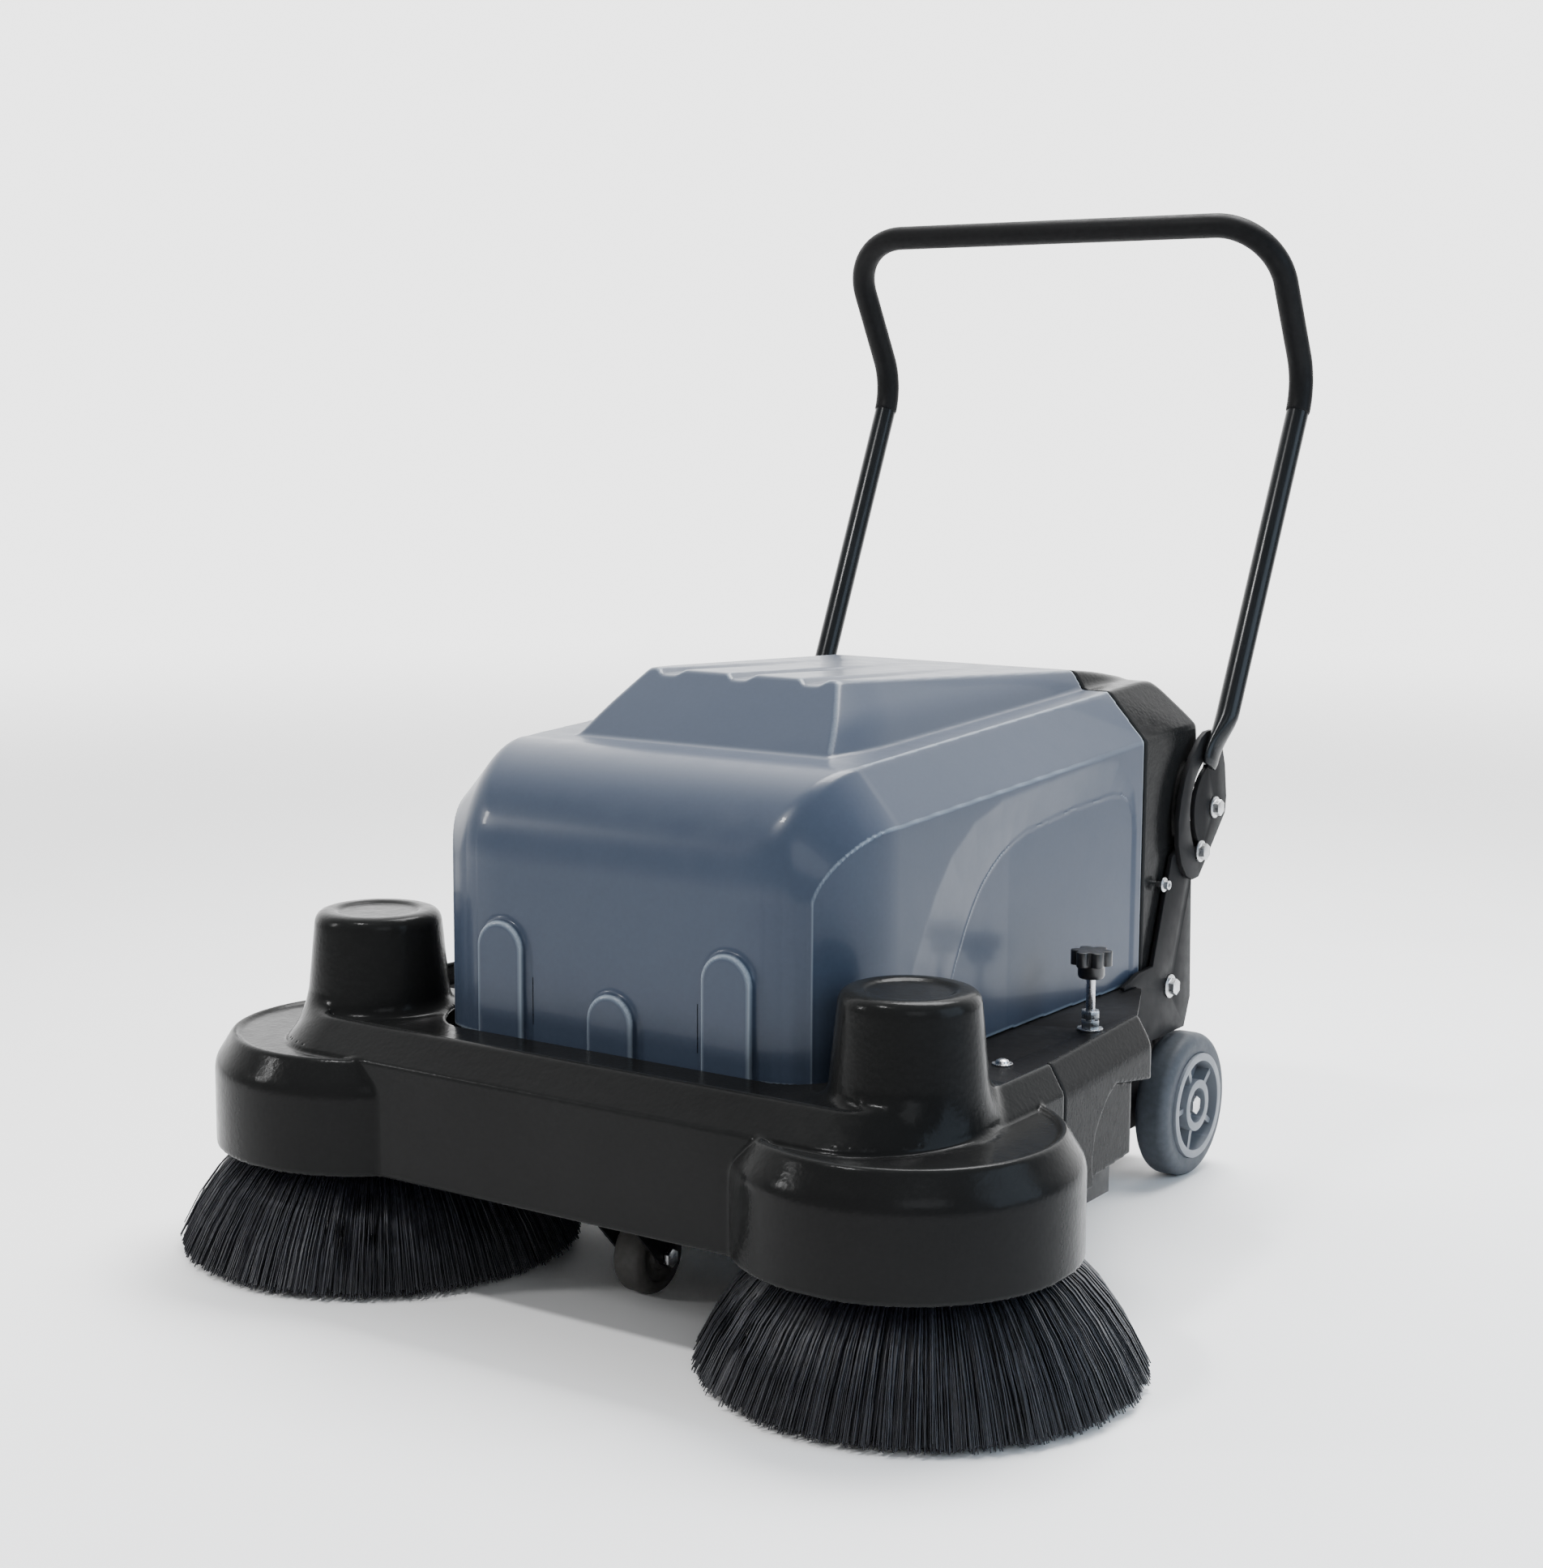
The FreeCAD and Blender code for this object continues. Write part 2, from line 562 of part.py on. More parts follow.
def hinge_bracket(x):
    """A bracket that reaches over from behind, so that the hood's edge can swing under the pin."""
    foot = box(x - 12, x + 12, HINGE_Y + 16, HINGE_Y + 40, DECK_TOP, DECK_TOP + 3)
    stem = box(x - 8, x + 8, HINGE_Y + 16, HINGE_Y + 20, DECK_TOP, HINGE_Z + 2.5)
    arm = box(x - 8, x + 8, HINGE_Y, HINGE_Y + 20, HINGE_Z - 2.5, HINGE_Z + 2.5)
    knuckle = rod(HINGE_R, (x - 8, HINGE_Y, HINGE_Z), (x + 8, HINGE_Y, HINGE_Z))
    pin_hole = rod(HINGE_PIN_R + RUN_FIT, (x - 20, HINGE_Y, HINGE_Z), (x + 20, HINGE_Y, HINGE_Z))
    return fuse([foot, stem, arm, knuckle]).cut(pin_hole)


def hinge_arm(x):
    inside = HOOD_FRONT + HOOD_T
    leaf = box(x - 24, x + 24, inside, inside + 2.4, HINGE_Z, HINGE_Z + 44)
    ears = []
    for x0, x1 in ((x - 24, x - 8.4), (x + 8.4, x + 24)):
        ears.append(rod(HINGE_R, (x0, HINGE_Y, HINGE_Z), (x1, HINGE_Y, HINGE_Z)))
        ears.append(box(x0, x1, inside, HINGE_Y, HINGE_Z - 2, HINGE_Z + 5))
    gap = box(x - 8.4, x + 8.4, inside - 1, inside + 5, HINGE_Z - 10, HINGE_Z + 7)
    pin = rod(HINGE_PIN_R, (x - 24, HINGE_Y, HINGE_Z), (x + 24, HINGE_Y, HINGE_Z))
    return fuse([leaf.cut(gap), pin] + ears)


# ---------------------------------------------------------------- control panel

def on_panel(shape):
    """Move a shape drawn flat at the origin onto the slanted rear face of the housing."""
    moved = shape.copy()
    moved.rotate(V(0, 0, 0), X_AXIS, PANEL_TILT)
    return moved.translated(PANEL_MID)


def control_panel():
    plate = box(-95, 95, -22, 22, 0, 3)
    plate = plate.makeFillet(8, [e for e in plate.Edges if abs(e.tangentAt(0).z) > 0.9])
    windows = [box(x - 9.2, x + 9.2, -13.2, 13.2, -1, 5) for x in ROCKER_X]
    windows.append(Part.makeCylinder(9.2, 10, V(KEY_X, 0, -2)))
    screws = [Part.makeCylinder(3.2, 1.2, V(sx * 86, sy * 14, 3)) for sx in (1, -1) for sy in (1, -1)]
    frames = [box(x - 11.5, x + 11.5, -15.5, 15.5, 3, 4.6).cut(box(x - 9.2, x + 9.2, -13.2, 13.2, 0, 9))
              for x in ROCKER_X]
    gauge = box(48, 76, -9, 9, 3, 4.2)
    return on_panel(fuse([plate.cut(Part.makeCompound(windows)), gauge] + screws + frames))


def key_switch():
    barrel = Part.makeCylinder(9.1, 14, V(KEY_X, 0, -9))
    collar = Part.makeCylinder(12, 2, V(KEY_X, 0, 3.1))
    blade = box(KEY_X - 1.3, KEY_X + 1.3, -9, 9, 5, 20)
    bow = Part.makeCylinder(11, 2.6, V(KEY_X - 1.3, 0, 24), X_AXIS)
    hole = Part.makeCylinder(3, 10, V(KEY_X - 5, 0, 28), X_AXIS)
    return on_panel(fuse([barrel, collar, blade, bow]).cut(hole))


def rocker_switch(x):
    half = 8.8
    outline = [(-12.6, -5), (12.6, -5), (12.6, 5.8), (0, 4.2), (-12.6, 5.8)]
    body = prism([(x - half, y, z) for y, z in outline], (2 * half, 0, 0))
    body = body.common(Part.makeCylinder(12.9, 2 * half, V(x - half, 0, 0), X_AXIS))
    return on_panel(body)


def charge_socket():
    def along(radius, y0, y1, dx=0.0, dz=0.0):
        return rod(radius, (SOCKET_X + dx, HOUSING_REAR + y0, SOCKET_Z + dz),
                   (SOCKET_X + dx, HOUSING_REAR + y1, SOCKET_Z + dz))
    shell = along(19, 0, 3).fuse(along(13, -22, 0)).cut(along(8, -16, 5))
    pins = [along(1.6, -17, -4, dx, dz) for dx, dz in ((-4, -2.5), (4, -2.5), (0, 4.2))]
    return fuse([shell] + pins)


# ---------------------------------------------------------------- inside the hood

def battery():
    case = box(6, 176, -590, -400, DECK_TOP, DECK_TOP + 168)
    lid = box(4, 178, -592, -398, DECK_TOP + 150, DECK_TOP + 176)
    posts = [rod(7, (x, -560, DECK_TOP + 176), (x, -560, DECK_TOP + 190)) for x in (36, 146)]
    return fuse([case, lid] + posts)


def controller_box():
    case = box(-120, 60, -372, -282, DECK_TOP, DECK_TOP + 46)
    fins = [box(-110 + 18 * i, -104 + 18 * i, -366, -288, DECK_TOP + 46, DECK_TOP + 58) for i in range(10)]
    return fuse([case] + fins)


def dust_filter():
    frame = box(-172, 172, -252, -114, DECK_TOP, DECK_TOP + 34)
    pocket = box(-160, 160, -240, -126, DECK_TOP - 1, DECK_TOP + 26)
    pleats = [box(-152 + 16 * i, -146 + 16 * i, -240, -126, DECK_TOP + 2, DECK_TOP + 26) for i in range(20)]
    return fuse([frame.cut(pocket)] + pleats)


# ---------------------------------------------------------------- hopper

def hopper():
    outer = box(-198, 198, -192, 40, 48, 206)
    inner = box(-194, 194, -188, 36, 52, 210)
    mouth = box(-194, 194, -200, -180, 104, 210)
    lip = box(-205, 205, 36, 44, 48, 212)
    runner = box(196, 214, -192, 30, RAIL_TOP + 0.3, RAIL_TOP + 3.3)
    return fuse([outer.cut(inner).cut(mouth), lip] + both(runner))


def hopper_handle():
    bar = box(-70, 70, 70, 82, 118, 134)
    legs = [box(x, x + 12, 44, 82, 118, 134) for x in (-70, 58)]
    feet = [box(x, x + 24, 44, 48, 110, 142) for x in (-82, 58)]
    return fuse([bar] + legs + feet)


# ---------------------------------------------------------------- main brush

def brush_carrier():
    arm = [(CARRIER_Y - 18, CARRIER_Z - 4), (CARRIER_Y, CARRIER_Z - 18), (-340, 80), (-300, 80),
           (-291, 104), (-291, 200), (-325, 200), (-345, 150), (CARRIER_Y + 4, CARRIER_Z + 18)]
    left = prism_x(arm, CARRIER_ARM_IN, CARRIER_ARM_OUT)
    tab = box(CARRIER_ARM_IN, 314, -325, -291, 196, 200)
    tube = rod(14, (-CARRIER_ARM_IN, CARRIER_Y, CARRIER_Z), (CARRIER_ARM_IN, CARRIER_Y, CARRIER_Z))
    pins = rod(CARRIER_PIN_R, (-WALL_OUT + 0.2, CARRIER_Y, CARRIER_Z), (WALL_OUT - 0.2, CARRIER_Y, CARRIER_Z))
    cradle = box(-180, -60, CARRIER_Y + 6, MOTOR_Y + 24, 126, 131)
    upright = box(-180, -60, CARRIER_Y + 2, CARRIER_Y + 8, 126, CARRIER_Z)
    frame = fuse([left, mirror(left), tab, tube, pins, cradle, upright])
    bores = [rod(8 + RUN_FIT, (s * 205, ROLLER_Y, ROLLER_Z), (s * 220, ROLLER_Y, ROLLER_Z)) for s in (1, -1)]
    bores.append(rod(6.2, (KNOB_X, KNOB_Y, 190), (KNOB_X, KNOB_Y, 210)))
    return frame.cut(Part.makeCompound(bores))


def main_motor():
    body = rod(38, (-188, MOTOR_Y, MOTOR_Z), (-44, MOTOR_Y, MOTOR_Z))
    cap = rod(24, (-44, MOTOR_Y, MOTOR_Z), (-30, MOTOR_Y, MOTOR_Z))
    foot = box(-170, -70, MOTOR_Y - 30, MOTOR_Y + 22, 131, MOTOR_Z - 10)
    bore = rod(6 + RUN_FIT, (-192, MOTOR_Y, MOTOR_Z), (-150, MOTOR_Y, MOTOR_Z))
    return fuse([body, cap, foot]).cut(bore)


def pulley(radius, y, z, x_mid):
    half = BELT_W / 2
    return revolve_x([(x_mid - half - 2, 0), (x_mid - half - 2, radius + 3), (x_mid - half - 0.2, radius + 3),
                      (x_mid - half - 0.2, radius), (x_mid + half + 0.2, radius),
                      (x_mid + half + 0.2, radius + 3), (x_mid + half + 2, radius + 3),
                      (x_mid + half + 2, 0)], (y, z))


def motor_pulley():
    shaft = rod(6, (-207, MOTOR_Y, MOTOR_Z), (-152, MOTOR_Y, MOTOR_Z))
    return pulley(MOTOR_PULLEY_R, MOTOR_Y, MOTOR_Z, BELT_X).fuse(shaft).removeSplitter()


def roller_pulley():
    bore = rod(8, (-220, ROLLER_Y, ROLLER_Z), (-180, ROLLER_Y, ROLLER_Z))
    return pulley(PULLEY_R, ROLLER_Y, ROLLER_Z, BELT_X).cut(bore)


def drive_belt():
    """A flat belt round the two pulleys, 0.3 mm clear of them."""
    a = (ROLLER_Y, ROLLER_Z)
    b = (MOTOR_Y, MOTOR_Z)
    distance = math.hypot(b[0] - a[0], b[1] - a[1])
    base = math.degrees(math.atan2(b[1] - a[1], b[0] - a[0]))

    def loop(extra):
        ra = PULLEY_R + extra
        rb = MOTOR_PULLEY_R + extra
        lead = math.degrees(math.acos((ra - rb) / distance))
        points = arc_points(a, ra, base + lead, base + 360 - lead, 41)
        points += arc_points(b, rb, base - lead, base + lead, 25)
        half = BELT_W / 2
        return prism_x(points, BELT_X - half, BELT_X + half)
    return loop(BELT_T).cut(loop(0.5))


def roller_core():
    tube = ring(ROLLER_CORE_R, ROLLER_CORE_R - 4, (-ROLLER_HALF, ROLLER_Y, ROLLER_Z),
                (ROLLER_HALF, ROLLER_Y, ROLLER_Z))
    axis = (ROLLER_Y, ROLLER_Z)
    ends = [rod(ROLLER_CORE_R, (s * (ROLLER_HALF - 8), *axis), (s * ROLLER_HALF, *axis))
            for s in (1, -1)]
    shaft = rod(8, (-219, ROLLER_Y, ROLLER_Z), (219, ROLLER_Y, ROLLER_Z))
    return fuse([tube, shaft] + ends)


def roller_bristles():
    return ring(ROLLER_R, ROLLER_CORE_R, (-ROLLER_HALF + 2, ROLLER_Y, ROLLER_Z),
                (ROLLER_HALF - 2, ROLLER_Y, ROLLER_Z))


# ---------------------------------------------------------------- side brushes

def side_gear_motor():
    gearbox = rod(42, (BRUSH_X, BRUSH_Y, BEAM_Z + BEAM_T), (BRUSH_X, BRUSH_Y, 235))
    motor = rod(36, (BRUSH_X, BRUSH_Y, 235), (BRUSH_X, BRUSH_Y, 318))
    end = rod(14, (BRUSH_X, BRUSH_Y, 318), (BRUSH_X, BRUSH_Y, 326))
    bore = rod(6 + RUN_FIT, (BRUSH_X, BRUSH_Y, 170), (BRUSH_X, BRUSH_Y, 222))
    neck = rod(38, (BRUSH_X, BRUSH_Y, 230), (BRUSH_X, BRUSH_Y, 262))
    return fuse([gearbox.common(box(0, 600, -900, -400, 100, 238)), neck, motor, end]).cut(bore)


def side_brush_disc():
    disc = revolve_z([(0, 122), (60, 122), (DISC_R, 132), (DISC_R, 146), (56, 150), (24, 152), (22, 166),
                      (6, 168), (6, 220), (0, 220)], (BRUSH_X, BRUSH_Y))
    return disc


def side_brush_bristles():
    outline = [(DISC_R, 145), (108, 134), (138, 112), (160, 84), (180, 54), (195, 26), (BRUSH_R, 4),
               (BRUSH_R - 3, 3), (156, 3), (132, 42), (104, 84), (DISC_R, 118)]
    return revolve_z(outline, (BRUSH_X, BRUSH_Y))


# ---------------------------------------------------------------- caster

def caster_fork():
    y_wheel = CASTER_SWIVEL_Y + CASTER_TRAIL
    crown = revolve_z([(0, 88), (30, 88), (30, 98), (16, 106), (16, 111.5), (0, 111.5)], (0, CASTER_SWIVEL_Y))
    stem = rod(6, (0, CASTER_SWIVEL_Y, 100), (0, CASTER_SWIVEL_Y, 134))
    top = box(-24, 24, CASTER_SWIVEL_Y - 22, y_wheel + 12, 86, 90)
    leg = [(CASTER_SWIVEL_Y - 22, 90), (CASTER_SWIVEL_Y - 14, 74), (y_wheel - 11, 34), (y_wheel, 27),
           (y_wheel + 11, 34), (y_wheel + 12, 90)]
    legs = [prism_x(leg, x, x + 3) for x in (-24, 21)]
    bores = rod(5, (-40, y_wheel, CASTER_R), (40, y_wheel, CASTER_R))
    return fuse([crown, stem, top] + legs).cut(bores)


def caster_axle():
    y_wheel = CASTER_SWIVEL_Y + CASTER_TRAIL
    bolt = rod(5, (-25, y_wheel, CASTER_R), (25, y_wheel, CASTER_R))
    head = hexagon(16, (24, y_wheel, CASTER_R), (30, y_wheel, CASTER_R))
    nut = hexagon(16, (-31, y_wheel, CASTER_R), (-24, y_wheel, CASTER_R))
    return fuse([bolt, head, nut])


def caster_wheel():
    y_wheel = CASTER_SWIVEL_Y + CASTER_TRAIL
    half = CASTER_W / 2
    r = CASTER_R
    outline = [(-half, 5 + RUN_FIT), (-half, 12), (-half + 4, 14), (-half + 4, r - 14), (-half, r - 12),
               (-half, r - 7), (-half + 3, r - 2), (-half + 7, r), (half - 7, r), (half - 3, r - 2),
               (half, r - 7), (half, r - 12), (half - 4, r - 14), (half - 4, 14), (half, 12),
               (half, 5 + RUN_FIT)]
    return revolve_x(outline, (y_wheel, CASTER_R))


# ---------------------------------------------------------------- rear wheels

def wheel_tyre():
    tread = 12
    centre_out = (WHEEL_OUT - 3 - tread, WHEEL_R - tread)
    centre_in = (WHEEL_IN + tread, WHEEL_R - tread)
    outline = [(WHEEL_IN, RIM_R + 0.1), (WHEEL_IN, WHEEL_R - tread)]
    outline += arc_points(centre_in, tread, 180, 90, 7)[1:]
    outline += arc_points(centre_out, tread, 90, 0, 7)
    outline += [(WHEEL_OUT - 3, RIM_R + 0.1)]
    return revolve_x(outline, (0, WHEEL_R))


def wheel_hub():
    rim = ring(RIM_R, RIM_IN_R, (WHEEL_IN + 1, 0, WHEEL_R), (WHEEL_OUT, 0, WHEEL_R))
    web = ring(RIM_IN_R + 1, 20, (250, 0, WHEEL_R), (256, 0, WHEEL_R))
    boss = rod(HUB_R, (WHEEL_IN + 3, 0, WHEEL_R), (WHEEL_OUT - 1, 0, WHEEL_R))
    cup = rod(CUP_R, (WHEEL_OUT - 13, 0, WHEEL_R), (WHEEL_OUT + 5, 0, WHEEL_R))
    bore = rod(AXLE_R + RUN_FIT, (200, 0, WHEEL_R), (300, 0, WHEEL_R))
    spokes = []
    for i in range(5):
        spoke = box(242, WHEEL_OUT - 5, -3, 3, WHEEL_R + HUB_R - 2, WHEEL_R + RIM_IN_R + 1)
        spoke.rotate(V(0, 0, WHEEL_R), X_AXIS, 72 * i + 20)
        spokes.append(spoke)
    return fuse([rim, web, boss] + spokes).cut(cup.fuse(bore))


def axle_bolt():
    head_x = WHEEL_OUT - 10
    shank = rod(AXLE_R, (WALL_IN - 14, 0, WHEEL_R), (head_x, 0, WHEEL_R))
    washer = rod(13, (WHEEL_OUT - 12.7, 0, WHEEL_R), (head_x, 0, WHEEL_R))
    head = hexagon(18, (head_x, 0, WHEEL_R), (head_x + 8, 0, WHEEL_R))
    nut = hexagon(18, (WALL_IN - 11, 0, WHEEL_R), (WALL_IN, 0, WHEEL_R))
    spacer = rod(9, (WALL_OUT, 0, WHEEL_R), (WHEEL_IN + 2.7, 0, WHEEL_R))
    return fuse([shank, washer, head, nut, spacer])


# ---------------------------------------------------------------- handle

def bend(before, corner, after, radius):
    """The two tangent points and the middle point of an arc that rounds a corner."""
    a = (V(*before) - V(*corner)).normalize()
    b = (V(*after) - V(*corner)).normalize()
    half = a.getAngle(b) / 2
    reach = radius / math.tan(half)
    middle = (a + b).normalize() * (radius / math.sin(half) - radius)
    return V(*corner) + a * reach, V(*corner) + middle, V(*corner) + b * reach


def handle_edges():
    """The handle's centre line: legs, kinks, upper legs, corners and top bar."""
    points = [LEG_END, KINK, TOP_CORNER]
    route = points + [(-x, y, z) for x, y, z in reversed(points)]
    radii = [KINK_BEND, CORNER_BEND, CORNER_BEND, KINK_BEND]
    edges = []
    start = V(*route[0])
    for i, radius in enumerate(radii):
        first, middle, last = bend(route[i], route[i + 1], route[i + 2], radius)
        edges.append(Part.LineSegment(start, first).toShape())
        edges.append(Part.Arc(first, middle, last).toShape())
        start = last
    edges.append(Part.LineSegment(start, V(*route[-1])).toShape())
    return edges


def sweep_tube(edges, outer, inner):
    path = Part.Wire(edges)
    first = edges[0]
    start = first.Vertexes[0].Point
    along = first.tangentAt(first.FirstParameter)
    sections = []
    for radius in (outer, inner):
        circle = Part.Wire([Part.Circle(start, along, radius).toShape()])
        sections.append(path.makePipeShell([circle], True, False))
    return sections[0].cut(sections[1])


def handle_tube():
    return sweep_tube(handle_edges(), TUBE_R, TUBE_R - TUBE_WALL)


def handle_grip():
    return sweep_tube(handle_edges()[1:-1], GRIP_R, TUBE_R + 0.1)


def sector_plate():
    """The plate welded to the foot of a handle leg, with its curved slot."""
    outline = [(53.2, 493.6), (38, 493), (23.7, 487), (1.9, 468), (-14, 446), (-23, 424), (-28.5, 400),
               (-27, 374), (-18, 352), (-4, 337), (12, 331), (27, 332), (36, 340), (93.6, 396),
               (96, 414), (90, 450), (76, 486), (66, 492)]
    plate = prism_x(outline, SECTOR_IN, SECTOR_OUT)
    reach = math.hypot(LOCK_Y - PIVOT_Y, LOCK_Z - PIVOT_Z)
    low = math.degrees(math.atan2(LOCK_Z - PIVOT_Z, LOCK_Y - PIVOT_Y)) + 360
    high = low - SLOT_SWEEP
    pivot = (PIVOT_Y, PIVOT_Z)
    slot = arc_points(pivot, reach + SLOT_HALF, high, low, 25)
    slot += arc_points(pivot, reach - SLOT_HALF, low, high, 25)
    holes = [prism_x(slot, SECTOR_IN - 2, SECTOR_OUT + 2)]
    holes.append(rod(ARM_BOLT_R + RUN_FIT, (SECTOR_IN - 2, *pivot), (SECTOR_OUT + 2, *pivot)))
    for angle in (low, high):
        y, z = arc_points(pivot, reach, angle, angle, 2)[0]
        holes.append(rod(SLOT_HALF, (SECTOR_IN - 2, y, z), (SECTOR_OUT + 2, y, z)))
    return plate.cut(fuse(holes))


def handle_bolt(y, z):
    head = hexagon(16, (SECTOR_OUT + 2.4, y, z), (SECTOR_OUT + 9, y, z))
    washer = rod(12, (SECTOR_OUT + 0.3, y, z), (SECTOR_OUT + 2.4, y, z))
    shank = rod(5, (ARM_PLATE_IN - 12, y, z), (SECTOR_OUT + 3, y, z))
    nut = hexagon(16, (ARM_PLATE_IN - 8, y, z), (ARM_PLATE_IN, y, z))
    return fuse([head, washer, shank, nut])


# ---------------------------------------------------------------- height adjuster

def height_knob():
    hub = revolve_z([(0, 284), (12, 284), (13.5, 287), (13.5, 298), (0, 298)], (KNOB_X, KNOB_Y))
    core = rod(15, (KNOB_X, KNOB_Y, 297), (KNOB_X, KNOB_Y, 312))
    lobes = []
    for i in range(6):
        angle = math.radians(60 * i + 20)
        x = KNOB_X + 14.5 * math.cos(angle)
        y = KNOB_Y + 14.5 * math.sin(angle)
        lobes.append(rod(6.2, (x, y, 297), (x, y, 312)))
    bore = rod(SCREW_R, (KNOB_X, KNOB_Y, 277), (KNOB_X, KNOB_Y, 302))
    return fuse([hub, core] + lobes).cut(bore)


def height_screw():
    stud = rod(SCREW_R, (KNOB_X, KNOB_Y, 183), (KNOB_X, KNOB_Y, 302))
    collar = rod(9, (KNOB_X, KNOB_Y, 187), (KNOB_X, KNOB_Y, 194.5))
    return stud.fuse(collar).removeSplitter()


def height_nuts():
    solids = []
    for z0, z1 in ((233, 241), (243, 251)):
        nut = hexagon(17, (KNOB_X, KNOB_Y, z0), (KNOB_X, KNOB_Y, z1))
        solids.append(nut)
    solids.append(rod(13, (KNOB_X, KNOB_Y, DECK_TOP), (KNOB_X, KNOB_Y, 233)))
    bore = rod(SCREW_R + RUN_FIT, (KNOB_X, KNOB_Y, 220), (KNOB_X, KNOB_Y, 260))
    return [s.cut(bore) for s in solids]


def deck_screw():
    outline = [(0, -14), (3, -14), (3, 0), (10, 0), (10, 1.4), (7, 1.4), (6, 4), (3, 5.4), (0, 5.6)]
    return revolve_z([(r, DECK_TOP + z) for r, z in outline], (DECK_SCREW_X, DECK_SCREW_Y))


# ---------------------------------------------------------------- all nodes

os.makedirs("parts", exist_ok=True)

save("chassis_frame", chassis_frame())
save("front_crossmember", front_crossmember())
save("front_cover", front_cover())
save("hood", hood())
save("rear_housing", rear_housing())
save("hood_hinge_brackets", [hinge_bracket(120), hinge_bracket(-120)])
save("hood_hinge_arms", [hinge_arm(120), hinge_arm(-120)])
save("control_panel", control_panel())
save("key_switch", key_switch())
save("rocker_switch_left", rocker_switch(ROCKER_X[1]))
save("rocker_switch_right", rocker_switch(ROCKER_X[0]))
save("charge_socket", charge_socket())
save("controller_box", controller_box())
save("dust_filter", dust_filter())
save("hopper", hopper())
save("hopper_handle", hopper_handle())
save("brush_carrier", brush_carrier())
save("main_motor", main_motor())
save("motor_pulley", motor_pulley())
save("roller_pulley", roller_pulley())
save("drive_belt", drive_belt())
save("roller_core", roller_core())
save("roller_bristles", roller_bristles())
save("front_flap", box(-186, 186, -443, -439, 8, 150))
save("rear_flap", box(-186, 186, -208, -204, 8, 92))
save("side_flaps", both(box(350.5, 353.5, -441, -376, 92, 150)))
save("caster_fork", caster_fork())
save("caster_axle", caster_axle())
save("caster_wheel", caster_wheel())
save("handle_tube", handle_tube())
save("handle_grip", handle_grip())
save("handle_bolts", [b for y, z in ((PIVOT_Y, PIVOT_Z), (LOCK_Y, LOCK_Z)) for b in both(handle_bolt(y, z))])
save("height_knob", height_knob())
save("height_screw", height_screw())
save("height_nuts", height_nuts())
save("deck_screws", both(deck_screw()))
save("side_plate_bolts", side_plate_bolts(1) + side_plate_bolts(-1))
for side, sign in SIDES:
    save("side_plate_" + side, side_of(side_plate(), sign))
    save("side_cover_" + side, side_of(side_cover(), sign))
    save("battery_" + side, side_of(battery(), sign))
    save("side_gear_motor_" + side, side_of(side_gear_motor(), sign))
    save("side_brush_disc_" + side, side_of(side_brush_disc(), sign))
    save("side_brush_bristles_" + side, side_of(side_brush_bristles(), sign))
    save("wheel_tyre_" + side, side_of(wheel_tyre(), sign))
    save("wheel_hub_" + side, side_of(wheel_hub(), sign))
    save("axle_bolt_" + side, side_of(axle_bolt(), sign))
    save("sector_plate_" + side, side_of(sector_plate(), sign))
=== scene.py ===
import json
import math

import bmesh
import bpy
import numpy as np
from mathutils import Matrix, Vector

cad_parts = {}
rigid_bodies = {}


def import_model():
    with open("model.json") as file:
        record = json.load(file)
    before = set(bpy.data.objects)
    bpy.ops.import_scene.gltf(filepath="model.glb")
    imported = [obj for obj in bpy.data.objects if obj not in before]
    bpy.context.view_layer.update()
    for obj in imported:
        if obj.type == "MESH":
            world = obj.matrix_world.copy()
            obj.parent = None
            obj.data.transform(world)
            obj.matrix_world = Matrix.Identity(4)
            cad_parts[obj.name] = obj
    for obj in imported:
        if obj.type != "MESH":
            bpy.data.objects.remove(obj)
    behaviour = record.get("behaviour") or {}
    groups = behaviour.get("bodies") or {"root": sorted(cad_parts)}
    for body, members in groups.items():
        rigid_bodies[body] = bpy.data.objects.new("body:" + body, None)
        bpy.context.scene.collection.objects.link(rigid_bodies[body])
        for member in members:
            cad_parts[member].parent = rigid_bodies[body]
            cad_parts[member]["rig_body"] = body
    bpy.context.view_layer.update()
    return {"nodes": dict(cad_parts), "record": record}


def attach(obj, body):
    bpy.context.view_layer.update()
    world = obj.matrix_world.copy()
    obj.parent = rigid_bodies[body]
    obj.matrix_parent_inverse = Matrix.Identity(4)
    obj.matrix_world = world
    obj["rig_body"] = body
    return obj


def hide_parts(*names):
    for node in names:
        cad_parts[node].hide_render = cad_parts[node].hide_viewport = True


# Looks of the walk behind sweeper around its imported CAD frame.
# Shapes are written in millimetres with the rear axle at y = 0, and moved by AXLE_Y into the frame.

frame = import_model()
NODES = frame["nodes"]
SLOTS = {row["node"]: row["material_slot"] for row in frame["record"]["subparts"]}
AXLE_Y = 321.0
FINE = 2.0    # cell of the surface grids
WALL = 4.2    # thickness of the moulded shells
RNG = np.random.default_rng(7)


# ---------------------------------------------------------------- node materials

